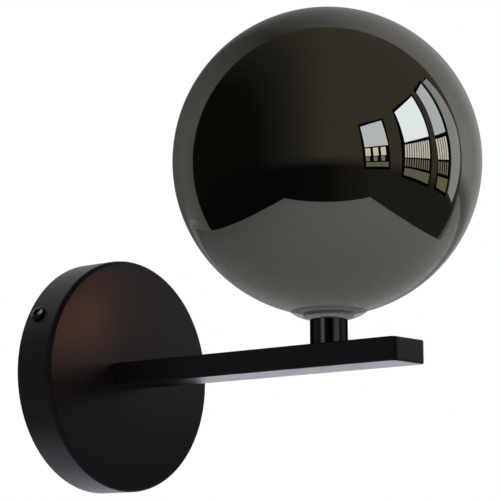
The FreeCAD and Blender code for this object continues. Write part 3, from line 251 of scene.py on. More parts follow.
def turned(section, segments, closed=False):
    """Turn a section, a list of (radius, height) in millimetres, round Z as a lathe would.

    Where it goes up, the material is on the axis's side of it. Radius 0 makes a pole."""
    corners, rings = [], []
    for radius, height in section:
        count = segments if radius > 0 else 1
        rings.append(range(len(corners), len(corners) + count))
        angles = (math.tau * i / segments for i in range(count))
        corners += [(radius * math.cos(a), radius * math.sin(a), height) for a in angles]
    faces = []
    pairs = list(zip(rings, rings[1:] + rings[:1]))
    for one, two in (pairs if closed else pairs[:-1]):
        for i in range(segments):
            k = (i + 1) % segments
            corner_ring = [one[i % len(one)], one[k % len(one)], two[k % len(two)], two[i % len(two)]]
            face = list(dict.fromkeys(corner_ring))
            if len(face) > 2:
                faces.append(face)
    return point_mesh("turned", corners, faces)


def new_tree(name, inputs):
    """A Geometry Nodes tree, with its named inputs and the socket that its result goes to."""
    tree = bpy.data.node_groups.new(name, "GeometryNodeTree")
    tree.interface.new_socket("Geometry", in_out="INPUT", socket_type="NodeSocketGeometry")
    for label, kind in inputs.items():
        tree.interface.new_socket(label, in_out="INPUT", socket_type=kind)
    tree.interface.new_socket("Geometry", in_out="OUTPUT", socket_type="NodeSocketGeometry")
    given = add_node(tree, "NodeGroupInput")
    made = add_node(tree, "NodeGroupOutput")
    return tree, given.outputs, made.inputs["Geometry"]


def plain_mesh(piece):
    """The mesh that a piece's modifiers make. The piece itself is thrown away."""
    bpy.context.view_layer.update()
    ready = piece.evaluated_get(bpy.context.evaluated_depsgraph_get())
    made = bpy.data.meshes.new_from_object(ready)
    bpy.data.objects.remove(piece)
    return made


def grown(tree, mesh, **values):
    """Run a Geometry Nodes tree with these inputs on a mesh, and keep the plain mesh it makes."""
    piece = put_in_scene(bpy.data.objects.new("start", mesh))
    growth = piece.modifiers.new("growth", "NODES")
    growth.node_group = tree
    for socket in tree.interface.items_tree:
        if socket.name in values:
            growth[socket.identifier] = values[socket.name]
    return plain_mesh(piece)


# The thread: points at the thread's radius are pushed in, or out in a bore, along a helix.
thread, given, result = new_tree("rolled_thread", {
    "pitch": "NodeSocketFloat", "push": "NodeSocketFloat", "radius": "NodeSocketFloat",
    "low": "NodeSocketFloat", "high": "NodeSocketFloat", "material": "NodeSocketMaterial"})
place = add_node(thread, "GeometryNodeInputPosition")
parts = add_node(thread, "ShaderNodeSeparateXYZ", {0: place.outputs[0]})
sideways = add_node(thread, "ShaderNodeCombineXYZ", {0: parts.outputs[0], 1: parts.outputs[1]})
reach = add_node(thread, "ShaderNodeVectorMath", {0: sideways.outputs[0]}, operation="LENGTH")
outward = add_node(thread, "ShaderNodeVectorMath", {0: sideways.outputs[0]}, operation="NORMALIZE")
angle = add_node(thread, "ShaderNodeMath", {0: parts.outputs[1], 1: parts.outputs[0]},
                 operation="ARCTAN2")
turns = add_node(thread, "ShaderNodeMath", {0: angle.outputs[0], 1: math.tau}, operation="DIVIDE")
climb = add_node(thread, "ShaderNodeMath", {0: parts.outputs[2], 1: given["pitch"]},
                 operation="DIVIDE")
phase = add_node(thread, "ShaderNodeMath", {0: climb.outputs[0], 1: turns.outputs[0]},
                 operation="SUBTRACT")
ridge = add_node(thread, "ShaderNodeMath", {0: phase.outputs[0], 1: 0.5}, operation="PINGPONG")
flank = add_node(thread, "ShaderNodeMapRange", {"Value": ridge.outputs[0], "From Min": 0.06,
                                                "From Max": 0.46}, interpolation_type="SMOOTHSTEP")
over_low = add_node(thread, "ShaderNodeMath", {0: parts.outputs[2], 1: given["low"]},
                    operation="SUBTRACT")
under_high = add_node(thread, "ShaderNodeMath", {0: given["high"], 1: parts.outputs[2]},
                      operation="SUBTRACT")
nearer_end = add_node(thread, "ShaderNodeMath", {0: over_low.outputs[0], 1: under_high.outputs[0]},
                      operation="MINIMUM")
fade = add_node(thread, "ShaderNodeMath", {0: nearer_end.outputs[0], 1: given["pitch"]},
                operation="DIVIDE", use_clamp=True)
on_wall = add_node(thread, "ShaderNodeMath", {0: reach.outputs["Value"], 1: given["radius"],
                                              2: 0.02 * MM}, operation="COMPARE")
depth = add_node(thread, "ShaderNodeMath", {0: flank.outputs[0], 1: given["push"]},
                 operation="MULTIPLY")
faded = add_node(thread, "ShaderNodeMath", {0: depth.outputs[0], 1: fade.outputs[0]},
                 operation="MULTIPLY")
masked = add_node(thread, "ShaderNodeMath", {0: faded.outputs[0], 1: on_wall.outputs[0]},
                  operation="MULTIPLY")
push = add_node(thread, "ShaderNodeVectorMath", {0: outward.outputs[0], "Scale": masked.outputs[0]},
                operation="SCALE")
moved = add_node(thread, "GeometryNodeSetPosition", {"Geometry": given["Geometry"],
                                                     "Offset": push.outputs[0]})
whole = add_node(thread, "GeometryNodeRealizeInstances", {"Geometry": moved.outputs[0]})
painted = add_node(thread, "GeometryNodeSetMaterial", {"Geometry": whole.outputs[0],
                                                       "Material": given["material"]})
thread.links.new(painted.outputs[0], result)

# Placing: one copy of a piece stands on each point, along the point's outward direction.
placing, given, result = new_tree("place_on_points", {"piece": "NodeSocketObject",
                                                      "material": "NodeSocketMaterial"})
one_piece = add_node(placing, "GeometryNodeObjectInfo", {"Object": given["piece"]})
outward = add_node(placing, "GeometryNodeInputNamedAttribute", {"Name": "outward"},
                   data_type="FLOAT_VECTOR")
turn = add_node(placing, "GeometryNodeInputNamedAttribute", {"Name": "turn"}, data_type="FLOAT")
upright = add_node(placing, "FunctionNodeAlignRotationToVector",
                   {"Vector": outward.outputs["Attribute"]}, axis="Z")
spin = add_node(placing, "FunctionNodeAxisAngleToRotation", {"Axis": (0, 0, 1),
                                                             "Angle": turn.outputs["Attribute"]})
turned_in = add_node(placing, "FunctionNodeRotateRotation",
                     {"Rotation": upright.outputs[0], "Rotate By": spin.outputs[0]},
                     rotation_space="LOCAL")
copies = add_node(placing, "GeometryNodeInstanceOnPoints",
                  {"Points": given["Geometry"], "Instance": one_piece.outputs["Geometry"],
                   "Rotation": turned_in.outputs[0]})
whole = add_node(placing, "GeometryNodeRealizeInstances", {"Geometry": copies.outputs[0]})
painted = add_node(placing, "GeometryNodeSetMaterial", {"Geometry": whole.outputs[0],
                                                        "Material": given["material"]})
placing.links.new(painted.outputs[0], result)


def placed(mesh, material, places):
    """Copies of a mesh at these (point, outward, turn) places, in millimetres and degrees."""
    points = point_mesh("points", [point for point, outward, turn in places])
    points.attributes.new("outward", "FLOAT_VECTOR", "POINT")
    points.attributes.new("turn", "FLOAT", "POINT")
    for i, (point, outward, turn) in enumerate(places):
        points.attributes["outward"].data[i].vector = outward
        points.attributes["turn"].data[i].value = math.radians(turn)
    piece = put_in_scene(bpy.data.objects.new("one_piece", mesh))
    made = grown(placing, points, piece=piece, material=material)
    bpy.data.objects.remove(piece)
    return smoothed(made)


def cut(mesh, tool):
    """A mesh with the shape of a punch or a cutter taken out of it."""
    piece = put_in_scene(bpy.data.objects.new("blank", mesh))
    cutter = put_in_scene(bpy.data.objects.new("cutter", tool))
    taken = piece.modifiers.new("taken_out", "BOOLEAN")
    taken.operation = "DIFFERENCE"
    taken.solver = "EXACT"
    taken.object = cutter
    made = plain_mesh(piece)
    bpy.data.objects.remove(cutter)
    return made


def punch(outline, low_scale, low, high):
    """A tapered punch with this outline at its top, shrunk by low_scale at its tip."""
    count = len(outline)
    corners = [(x * low_scale, y * low_scale, low) for x, y in outline]
    corners += [(x, y, high) for x, y in outline]
    sides = [(i, (i + 1) % count, count + (i + 1) % count, count + i) for i in range(count)]
    return point_mesh("punch", corners, sides + [tuple(range(count))[::-1],
                                                 tuple(range(count, 2 * count))])


# Head radius, head height, thread radius and pitch, in millimetres. A thread's depth is a share of
# its pitch.
M4_PAN = (4.0, 2.6, 2.0, 0.7)
M3_PAN = (2.5, 2.0, 1.5, 0.5)
M3_TERMINAL = (1.7, 1.6, 1.5, 0.5)
M2_5_PAN = (2.25, 1.7, 1.25, 0.45)
THREAD_DEPTH = 0.6
RINGS_PER_TURN = 8


def screw(size, length, drive, material):
    """A pan-head screw along Z, its seat at the origin. The drive is "cross" or "slot"."""
    head_radius, head_height, thread_radius, pitch = size
    point, edge = min(0.4, length / 4), 0.1
    rim_height, steps = 0.35 * head_height, 10
    rings = max(4, round((length - point) / pitch * RINGS_PER_TURN))
    section = [(0, -length), (thread_radius - point, -length)]
    section += [(thread_radius, -length + point + (length - point) * i / rings)
                for i in range(rings + 1)]
    section += [(head_radius - edge, 0), (head_radius, edge), (head_radius, rim_height)]
    section += [(head_radius * math.cos(a), rim_height + (head_height - rim_height) * math.sin(a))
                for a in (math.pi / 2 * i / steps for i in range(1, steps))]
    section.append((0, head_height))
    blank = grown(thread, turned(section, 32), pitch=pitch * MM, push=-THREAD_DEPTH * pitch * MM,
                  radius=thread_radius * MM, low=(-length + point) * MM, high=-0.2 * MM,
                  material=material)
    if drive == "slot":
        half, reach = 0.11 * head_radius + 0.2, head_radius + 1
        outline = [(-reach, -half), (reach, -half), (reach, half), (-reach, half)]
        return cut(blank, punch(outline, 1.0, 0.45 * head_height, head_height + 1))
    half, reach = 0.15 * head_radius, 0.62 * head_radius
    quarter = [(reach, -half), (reach, half), (half, half)]
    outline = [(x * c - y * s, x * s + y * c)
               for c, s in ((1, 0), (0, 1), (-1, 0), (0, -1)) for x, y in quarter]
    return cut(blank, punch(outline, 0.42, 0.25 * head_height, head_height + 0.05))


# Bare steel is bright and neutral grey, with fine marks from the tools that shaped it.
steel = metal("bright_turned_steel", ("#8f8e8c", "#b3b2af"), 0.3, 1.5)
to_wall, to_room, up = (0, 1, 0), (0, -1, 0), (0, 0, 1)
LUG_TURN = math.radians(152)                 # the side screws' line, from +X round to +Z
SIDE_SCREW_RADIUS, SIDE_SCREW_DEPTH = 60.0, 7.5    # from the canopy's axis, and from the wall
lug_way = Vector((math.cos(LUG_TURN), 0, math.sin(LUG_TURN)))


def powder_coat(name, colour, roughness, level):
    """Polyester powder coat: near black, satin, with a fine orange-peel skin."""
    material, tree, surface = new_material(name)
    place = add_node(tree, "ShaderNodeTexCoord")
    peel = add_node(tree, "ShaderNodeTexNoise",
                    {"Vector": place.outputs["Object"], "Scale": 1 / (0.5 * MM), "Detail": 2.0})
    drift = add_node(tree, "ShaderNodeTexNoise",
                     {"Vector": place.outputs["Object"], "Scale": 1 / (25 * MM), "Detail": 2.0})
    gloss = add_node(tree, "ShaderNodeMapRange",
                     {"Value": drift.outputs["Fac"], "To Min": roughness - 0.03,
                      "To Max": roughness + 0.03})
    relief = add_node(tree, "ShaderNodeBump", {"Height": peel.outputs["Fac"], "Strength": 0.25,
                                               "Distance": 0.01 * MM})
    shader = add_node(tree, "ShaderNodeBsdfPrincipled",
                      {"Base Color": linear(colour), "Roughness": gloss.outputs["Result"],
                       "Specular IOR Level": level, "Normal": relief.outputs["Normal"]})
    tree.links.new(shader.outputs[0], surface)
    return material


coat = powder_coat("satin_black_powder_coat", "#171617", 0.33, 0.3)
# Oiled black oxide: near black, with small crisp highlights.
black_oxide = metal("blackened_steel", ("#2e2e30", "#3b3b3e"), 0.24, 1.5, 0.04)
side_screws = fitted("black_side_screws", placed(
    screw(M4_PAN, 8.0, "cross", black_oxide), black_oxide,
    [(lug_way * side * SIDE_SCREW_RADIUS - Vector((0, SIDE_SCREW_DEPTH, 0)), lug_way * side, turn)
     for side, turn in ((1, 20), (-1, 65))]), black_oxide, "fixture", "black_screw", "side_screws")

# Where the heads of the steel screws sit, in millimetres.
ARM_SCREW_SEATS = ((-8.5, -20, 0), (8.5, -20, 0))
EARTH_SCREW_SEAT = (20, -3.6, 25)
BLOCK_SCREW_SEAT = (4.3, -15, -30)
TERMINAL_COLUMNS, TERMINAL_ROWS, TERMINAL_DEPTH = (-8.6, 0, 8.6), (-3.5, 3.5), -10.8
TERMINAL_MIDDLE = -30
HOLDER_SCREW_REACH, HOLDER_SCREW_HEIGHT = 6.6, 33


def steel_screws(name, node, size, length, drive, places):
    """Bare steel screws of one size in the place of a CAD part."""
    fitted(name, placed(screw(size, length, drive, steel), steel, places),
           steel, "fixture", "steel", node)


steel_screws("arm_pan_head_screws", "arm_screws", M4_PAN, 10.0, "cross",
             [(seat, to_wall, turn) for seat, turn in zip(ARM_SCREW_SEATS, (12, 55))])
steel_screws("earth_pan_head_screw", "earth_screw", M4_PAN, 3.5, "cross",
             [(EARTH_SCREW_SEAT, to_room, 33)])
steel_screws("block_pan_head_screw", "terminal_block_screw", M3_PAN, 14.5, "cross",
             [(BLOCK_SCREW_SEAT, to_room, 70)])
# Each terminal screw was stopped at a turn of its own.
steel_screws("slotted_terminal_screws", "terminal_screws", M3_TERMINAL, 1.3, "slot",
             [((x, TERMINAL_DEPTH, TERMINAL_MIDDLE + z), to_room, (x * 37 + z * 23) % 180)
              for x in TERMINAL_COLUMNS for z in TERMINAL_ROWS])
steel_screws("holder_pan_head_screws", "lampholder_screws", M2_5_PAN, 6.0, "cross",
             [((0, LAMP_AXIS.y / MM + side * HOLDER_SCREW_REACH, HOLDER_SCREW_HEIGHT), up, 30 * side)
              for side in (-1, 1)])


# ------------------------------------------------------------------ washers, nuts and brass parts
# Stamped steel washers, plain or with twisted teeth, brass nuts turned from hexagon bar, and the
# brass clamps and earth tag. Tumbling has rounded their edges a little.
brass = metal("turned_brass", ("#b08d4c", "#cfae6a"), 0.26, 1.5)
for node in ("arm_washers", "lower_lock_washer", "upper_lock_washer", "earth_washer"):
    deburred(fitted("stamped_" + node, clean_copy(node), steel, "fixture", "steel", node), 0.08)
for node in ("lower_nut", "upper_nut", "terminal_clamps", "earth_tag"):
    deburred(fitted("brass_" + node, clean_copy(node), brass, "fixture", "brass", node), 0.15)


# ------------------------------------------------------------------ terminal block and wire bush
# The block is moulded white nylon, with rounded edges and a dull skin. The bush round the wires
# where they pass from the canopy into the arm is the same nylon in black.

def moulded(name, colours, roughness, grain_mm=2.0, **more):
    """A moulded or fired skin whose tone and gloss wander a little, over a faint grain."""
    material, tree, surface = new_material(name)
    place = add_node(tree, "ShaderNodeTexCoord")
    cloud = add_node(tree, "ShaderNodeTexNoise",
                     {"Vector": place.outputs["Object"], "Scale": 1 / (grain_mm * MM), "Detail": 4.0})
    tint = colour_ramp(tree, cloud.outputs["Fac"], [(0.3, colours[0]), (0.7, colours[1])])
    gloss = add_node(tree, "ShaderNodeMapRange",
                     {"Value": cloud.outputs["Fac"], "To Min": roughness - 0.06,
                      "To Max": roughness + 0.06})
    relief = add_node(tree, "ShaderNodeBump", {"Height": cloud.outputs["Fac"], "Strength": 0.2,
                                               "Distance": 0.02 * MM})
    shader = add_node(tree, "ShaderNodeBsdfPrincipled",
                      {"Base Color": tint, "Roughness": gloss.outputs["Result"],
                       "Normal": relief.outputs["Normal"]} | more)
    tree.links.new(shader.outputs[0], surface)
    return material


white_nylon = moulded("moulded_white_nylon", ("#e2e0d8", "#eeece6"), 0.42)
black_nylon = moulded("moulded_black_nylon", ("#131313", "#1b1b1b"), 0.4)
deburred(fitted("moulded_terminal_block", clean_copy("terminal_block"), white_nylon, "fixture",
                "terminal_moulding", "terminal_block"), 0.3)
deburred(fitted("moulded_wire_bush", clean_copy("wire_bush"), black_nylon, "fixture",
                "bush_moulding", "wire_bush"), 0.15)


# ------------------------------------------------------------------ canopy and arm
# A pressed steel cup, and a rectangular steel tube with its end cap. All three are powder coated
# in one fine satin black: nearly black, with soft highlights and a faint orange-peel skin.

def finish_nodes(material, *nodes):
    """Give CAD parts, whose shape is right as it is, their real finish."""
    for node in nodes:
        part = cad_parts[node]
        part.data.materials.clear()
        part.data.materials.append(material)


finish_nodes(coat, "canopy_cover", "arm_bar", "arm_end_cap")
deburred(fitted("drilled_root_block", clean_copy("arm_root_block"), steel, "fixture", "steel",
                "arm_root_block"), 0.2)


# ------------------------------------------------------------------ stem and threaded tube
# The stem is a short steel tube in glossier black lacquer. A hollow threaded tube of zinc-plated
# steel, M10 x 1, runs through it and clamps the arm, the stem, the seat and the collar together.
lacquer = powder_coat("stoved_black_lacquer", "#0b0a0b", 0.22, 0.5)
finish_nodes(lacquer, "stem_tube")


def along_axis(mesh):
    """Set a mesh that was turned round Z onto the lamp's own axis."""
    mesh.transform(Matrix.Translation(LAMP_AXIS))
    return mesh


def rows(radius, low, high, step):
    """Points up a straight wall, close enough together to carry a thread."""
    count = round((high - low) / step)
    return [(radius, low + (high - low) * i / count) for i in range(count + 1)]


TUBE_LENGTH, TUBE_RADIUS, TUBE_BORE, TUBE_EDGE = 27.0, 5.0, 3.5, 0.5
TUBE_PITCH, TUBE_THREAD_DEPTH = 1.0, 0.55
tube = turned([(TUBE_BORE, 0), (TUBE_RADIUS - TUBE_EDGE, 0)]
              + rows(TUBE_RADIUS, TUBE_EDGE, TUBE_LENGTH - TUBE_EDGE, TUBE_PITCH / RINGS_PER_TURN)
              + [(TUBE_RADIUS - TUBE_EDGE, TUBE_LENGTH), (TUBE_BORE, TUBE_LENGTH)], 48, closed=True)
tube = grown(thread, tube, pitch=TUBE_PITCH * MM, push=-TUBE_THREAD_DEPTH * MM,
             radius=TUBE_RADIUS * MM, low=TUBE_EDGE * MM, high=(TUBE_LENGTH - TUBE_EDGE) * MM,
             material=zinc)
fitted("rolled_threaded_tube", along_axis(smoothed(tube)), zinc, "fixture", "zinc_plated_steel",
       "threaded_tube")


# ------------------------------------------------------------------ seat and collar
# The seat is a thin ring of smoky silicone that the globe rests on. It lets half of the light
# through, so beside the stem it looks like a pale grey crescent. The collar is a zinc-plated
# steel cup with a coarse rolled thread for the globe's neck.
seat_silicone = moulded("smoky_silicone", ("#494a45", "#53544e"), 0.35,
                        **{"Alpha": 0.5, "Specular IOR Level": 0.25})
finish_nodes(seat_silicone, "globe_seat")

GLASS_PITCH, COLLAR_THREAD_DEPTH, COLLAR_ROW = 3.0, 0.6, 0.2
COLLAR_RADIUS, COLLAR_INSIDE, COLLAR_BORE = 11.7, 9.9, 5.1
COLLAR_LOW, COLLAR_FLOOR, COLLAR_HIGH, COLLAR_EDGE = 19.5, 21.5, 31.0, 0.5
collar = turned([(COLLAR_BORE, COLLAR_LOW), (COLLAR_RADIUS - COLLAR_EDGE, COLLAR_LOW)]
                + rows(COLLAR_RADIUS, COLLAR_LOW + COLLAR_EDGE, COLLAR_HIGH - COLLAR_EDGE, COLLAR_ROW)
                + [(COLLAR_RADIUS - COLLAR_EDGE, COLLAR_HIGH), (COLLAR_INSIDE, COLLAR_HIGH),
                   (COLLAR_INSIDE, COLLAR_FLOOR), (COLLAR_BORE, COLLAR_FLOOR)], 96, closed=True)
collar = grown(thread, collar, pitch=GLASS_PITCH * MM, push=-COLLAR_THREAD_DEPTH * MM,
               radius=COLLAR_RADIUS * MM, low=(COLLAR_LOW + 1) * MM,
               high=(COLLAR_HIGH - COLLAR_EDGE) * MM, material=zinc)
fitted("threaded_globe_collar", along_axis(smoothed(collar)), zinc, "fixture",
       "zinc_plated_steel", "globe_collar")


# ------------------------------------------------------------------ lampholder
# A bent steel strap carries a two-pin holder of fired steatite, a hard off-white ceramic with a
# dull, faintly speckled skin. Its two contacts are bent from spring bronze.
steatite = moulded("fired_steatite", ("#ddd6c6", "#ebe6da"), 0.6, 0.8)
bronze = metal("rolled_spring_bronze", ("#9a6b3f", "#bd8a58"), 0.3, 1.5)
deburred(fitted("bent_holder_strap", clean_copy("lampholder_strap"), steel, "fixture", "steel",
                "lampholder_strap"), 0.15)
deburred(fitted("fired_lampholder", clean_copy("lampholder_body"), steatite, "fixture", "ceramic",
                "lampholder_body"), 0.3)
deburred(fitted("bent_contacts", clean_copy("lampholder_contacts"), bronze, "fixture",
                "contact_bronze", "lampholder_contacts"), 0.06)


# ------------------------------------------------------------------ wiring
# Three stranded leads in silicone sleeves: brown for live, blue for neutral, and green with a
# yellow stripe for earth. Extruded silicone has a soft, slightly waxy sheen.
brown_sleeve = moulded("brown_silicone_sleeve", ("#532f1d", "#613a25"), 0.45)
blue_sleeve = moulded("blue_silicone_sleeve", ("#1e4b90", "#2759a6"), 0.45)
fitted("live_sleeve", clean_copy("lead_live"), brown_sleeve, "fixture", "brown_insulation",
       "lead_live")
fitted("neutral_sleeve", clean_copy("lead_neutral"), blue_sleeve, "fixture", "blue_insulation",
       "lead_neutral")

earth_mesh = clean_copy("lead_earth")
stripe = earth_mesh.attributes.new("stripe", "FLOAT", "POINT")
STRIPE_SIDE = Vector((0.5, -0.5, 0.7))       # the side of the sleeve that shows its yellow
for point, share in zip(earth_mesh.vertices, stripe.data):
    share.value = abs(point.normal.dot(STRIPE_SIDE))
earth_sleeve, tree, surface = new_material("green_yellow_silicone_sleeve")
side = add_node(tree, "ShaderNodeAttribute", attribute_name="stripe")
tint = colour_ramp(tree, side.outputs["Fac"], [(0.45, "#3f8a2f"), (0.5, "#e3cf1e")])
shader = add_node(tree, "ShaderNodeBsdfPrincipled", {"Base Color": tint, "Roughness": 0.45})
tree.links.new(shader.outputs[0], surface)
fitted("earth_sleeve", earth_mesh, earth_sleeve, "fixture", "green_yellow_insulation",
       "lead_earth")


# ------------------------------------------------------------------ globe
# Blown smoke glass, 2.4 mm thick, with a thin mirror layer inside and a thread rolled into its
# inward neck. It mirrors everything round it in dark neutral grey. Blowing leaves it very
# slightly wavy, and its mirror colour is a little darker towards the neck.

def arc(centre, radius, start, end, steps):
    """Points round an arc in a section, from one angle to another in degrees."""
    return [(centre[0] + radius * math.cos(math.radians(start + (end - start) * i / steps)),
             centre[1] + radius * math.sin(math.radians(start + (end - start) * i / steps)))
            for i in range(steps + 1)]


BALL_CENTRE = (0.0, 95.3)
BALL_RADIUS, BALL_INSIDE = 75.0, 72.6
POLE_ANGLE = 88.6                            # of the ring below the top point, in degrees
NECK_BORE, NECK_RADIUS, NECK_TOP, NECK_EDGE, NECK_FILLET = 12.0, 14.6, 34.0, 0.6, 2.0
NECK_ROW, NECK_THREAD_DEPTH = 0.22, 0.5
LIP_RADIUS, LIP_LOW, LIP_HIGH = 13.2, 21.47, 22.91
LIP_CENTRE, LIP_ROUND, LIP_START, LIP_END = (13.67, 23.08), 1.68, 185.8, 253.7
GLOBE_SEGMENTS = 240
fillet_reach = BALL_INSIDE - NECK_FILLET
fillet_middle = NECK_RADIUS + NECK_FILLET
fillet_drop = math.sqrt(fillet_reach ** 2 - fillet_middle ** 2)
fillet_angle = -math.degrees(math.atan2(fillet_drop, fillet_middle))
inside = [(0.0, BALL_CENTRE[1] + BALL_INSIDE)]
inside += arc(BALL_CENTRE, BALL_INSIDE, POLE_ANGLE, fillet_angle, 64)
inside += arc((fillet_middle, BALL_CENTRE[1] - fillet_drop), NECK_FILLET, fillet_angle, -180, 6)[1:]
neck = [(NECK_RADIUS, NECK_TOP - NECK_EDGE), (NECK_RADIUS - NECK_EDGE, NECK_TOP),
        (NECK_BORE + NECK_EDGE, NECK_TOP)]
neck += rows(NECK_BORE, LIP_HIGH, NECK_TOP - NECK_EDGE, NECK_ROW)[::-1]
lip = arc(LIP_CENTRE, LIP_ROUND, LIP_START, LIP_END, 6)[1:]
outside = arc(BALL_CENTRE, BALL_RADIUS, -math.degrees(math.acos(LIP_RADIUS / BALL_RADIUS)),
              POLE_ANGLE, 120)[1:] + [(0.0, BALL_CENTRE[1] + BALL_RADIUS)]
blown = turned(inside + neck + lip + outside, GLOBE_SEGMENTS)

smoke_mirror, tree, surface = new_material("mirrored_smoke_glass")
place = add_node(tree, "ShaderNodeTexCoord")
height = add_node(tree, "ShaderNodeSeparateXYZ", {0: place.outputs["Object"]})
up_the_ball = add_node(tree, "ShaderNodeMapRange",
                       {"Value": height.outputs["Z"], "From Min": LIP_LOW * MM,
                        "From Max": (BALL_CENTRE[1] + BALL_RADIUS) * MM})
smoke = colour_ramp(tree, up_the_ball.outputs["Result"], [(0.0, "#6a6b64"), (0.2, "#73746d"),
                                                          (1.0, "#747571")])
drift = add_node(tree, "ShaderNodeTexNoise", {"Vector": place.outputs["Object"],
                                              "Scale": 1 / (45 * MM), "Detail": 1.0})
waves = add_node(tree, "ShaderNodeBump", {"Height": drift.outputs["Fac"], "Strength": 0.3,
                                          "Distance": 0.15 * MM})
shader = add_node(tree, "ShaderNodeBsdfPrincipled",
                  {"Base Color": smoke, "Metallic": 1.0, "Roughness": 0.015,
                   "Normal": waves.outputs["Normal"]})
tree.links.new(shader.outputs[0], surface)
blown = grown(thread, blown, pitch=GLASS_PITCH * MM, push=NECK_THREAD_DEPTH * MM,
              radius=NECK_BORE * MM, low=LIP_HIGH * MM, high=(NECK_TOP - NECK_EDGE) * MM,
              material=smoke_mirror)
globe = fitted("blown_globe", along_axis(smoothed(blown)), smoke_mirror, "globe",
               "smoke_mirror_glass", "globe_glass")


# ------------------------------------------------------------------ bulb
# A plug-in LED bulb: a moulded white base with two steel pins, a ceramic light carrier with rows
# of small yellow light packages on its six sides, and a frosted polycarbonate cover.
white_plastic = moulded("moulded_white_polycarbonate", ("#ebe9e4", "#f3f2ee"), 0.35)
carrier_ceramic = moulded("white_carrier_ceramic", ("#efeee8", "#f7f6f2"), 0.55)
frosted = moulded("frosted_polycarbonate", ("#f4f4f1", "#fafaf8"), 0.5,
                  **{"Transmission Weight": 0.75, "IOR": 1.5})
phosphor = moulded("yellow_phosphor", ("#e9cf52", "#f2dc6e"), 0.4, 0.5)
deburred(fitted("moulded_bulb_base", clean_copy("bulb_base"), white_plastic, "bulb",
                "bulb_white_plastic", "bulb_base"), 0.2)
deburred(fitted("bulb_pin_pair", clean_copy("bulb_pins"), steel, "bulb", "steel", "bulb_pins"), 0.1)

carrier = clean_copy("bulb_core")
PACKAGE_LENGTH, PACKAGE_WIDTH, PACKAGE_HEIGHT, PACKAGE_ROWS, PACKAGE_STEP = 1.9, 1.4, 0.4, 9, 3.1
carrier_sides = [(side.center.copy(), side.normal.copy()) for side in carrier.polygons
                 if abs(side.normal.z) < 0.1]
half_long, half_wide = PACKAGE_LENGTH / 2, PACKAGE_WIDTH / 2
package = punch([(half_long, -half_wide), (half_long, half_wide), (-half_long, half_wide),
                 (-half_long, -half_wide)], 1.0, 0.0, PACKAGE_HEIGHT)
fitted("light_packages", placed(package, phosphor, [
    (centre / MM + Vector((0, 0, PACKAGE_STEP * (row - (PACKAGE_ROWS - 1) / 2))), normal, 0)
    for centre, normal in carrier_sides for row in range(PACKAGE_ROWS)]),
       phosphor, "bulb", "bulb_light_carrier")
deburred(fitted("light_carrier", carrier, carrier_ceramic, "bulb", "bulb_light_carrier",
                "bulb_core"), 0.2)
fitted("frosted_bulb_cover", clean_copy("bulb_cover"), frosted, "bulb", "bulb_frosted_cover",
       "bulb_cover")


# ------------------------------------------------------------------ lights
# A tent of dim cloth, a pale board below and tall slatted light boxes, which only the globe and the
# inner pieces mirror. The black pieces have a dim tent and soft cards of their own.

def glowing(name, colour, strength):
    material, tree, surface = new_material(name)
    glow = add_node(tree, "ShaderNodeEmission", {"Color": linear(colour), "Strength": strength})
    tree.links.new(glow.outputs[0], surface)
    return material


lamp_pieces = [piece for piece in bpy.context.scene.objects
               if piece.type == "MESH" and piece not in (globe, floor)]
GLOBE_CENTRE = LAMP_AXIS + Vector((0, 0, BALL_CENTRE[1] * MM))
TO_CAMERA = -53.0                            # the camera's turn, seen from the globe
camera_way, right_way = facing(TO_CAMERA, -12), facing(TO_CAMERA + 90)

# The pale board that the globe mirrors: narrow in front of the lamp, wide behind. Its corners are
# (ahead of, across) the lamp, in metres.
BOARD_LEVEL = -0.249
BOARD_CORNERS = [(0.43, -0.30), (0.43, 0.30), (-0.46, 0.61), (-1.25, 2.35), (-2.2, -1.65)]
front_way = facing(TO_CAMERA)
board_paint, tree, surface = new_material("lit_board")
place = add_node(tree, "ShaderNodeTexCoord")
sideways = add_node(tree, "ShaderNodeVectorMath", {0: place.outputs["Object"], 1: right_way},
                    operation="DOT_PRODUCT")
share = add_node(tree, "ShaderNodeMapRange", {"Value": sideways.outputs["Value"],
                                              "From Min": -0.9, "From Max": 0.9})
lit = colour_ramp(tree, share.outputs["Result"], [(0.0, "#6f6e6b"), (0.3, "#98979a"),
                                                  (0.5, "#b6b5b5"), (0.75, "#c2c2c2")])
glow = add_node(tree, "ShaderNodeEmission", {"Color": lit, "Strength": 1.0})
tree.links.new(glow.outputs[0], surface)
middle = LAMP_AXIS + Vector((0, 0, BOARD_LEVEL))
board = polygons("pale_board", board_paint, [[
    middle + front_way * ahead + right_way * aside for ahead, aside in BOARD_CORNERS]])
board.visible_camera = False
board.visible_diffuse = False

# The tent: dim warm cloth on the camera's side, darker to the left and below, and grey behind
# the lamp, lighter to the right and one even grey low down.
TENT_RADIUS = 3.0
INNER_TENT_RADIUS = 0.97 * TENT_RADIUS
TENT_EDGE = -0.43                            # cosine of the angle from the camera where it turns grey


def tent_of(name, radius, cloth):
    """A closed ball of glowing cloth round the lamp, which the camera doesn't see."""
    mesh = bpy.data.meshes.new(name)
    shell = bmesh.new()
    bmesh.ops.create_icosphere(shell, subdivisions=4, radius=radius)
    shell.to_mesh(mesh)
    shell.free()
    made = mesh_object(name, mesh, cloth)
    made.location = GLOBE_CENTRE
    made.visible_camera = False
    return made


tent_cloth, tree, surface = new_material("dim_tent_cloth")
place = add_node(tree, "ShaderNodeTexCoord")
way = add_node(tree, "ShaderNodeVectorMath", {0: place.outputs["Object"]}, operation="NORMALIZE")


def along(tree, way, direction, low, high):
    """How far a direction points along another one, as 0 at the cosine low to 1 at high."""
    cosine = add_node(tree, "ShaderNodeVectorMath", {0: way, 1: direction}, operation="DOT_PRODUCT")
    share = add_node(tree, "ShaderNodeMapRange", {"Value": cosine.outputs["Value"],
                                                  "From Min": low, "From Max": high})
    return share.outputs["Result"]


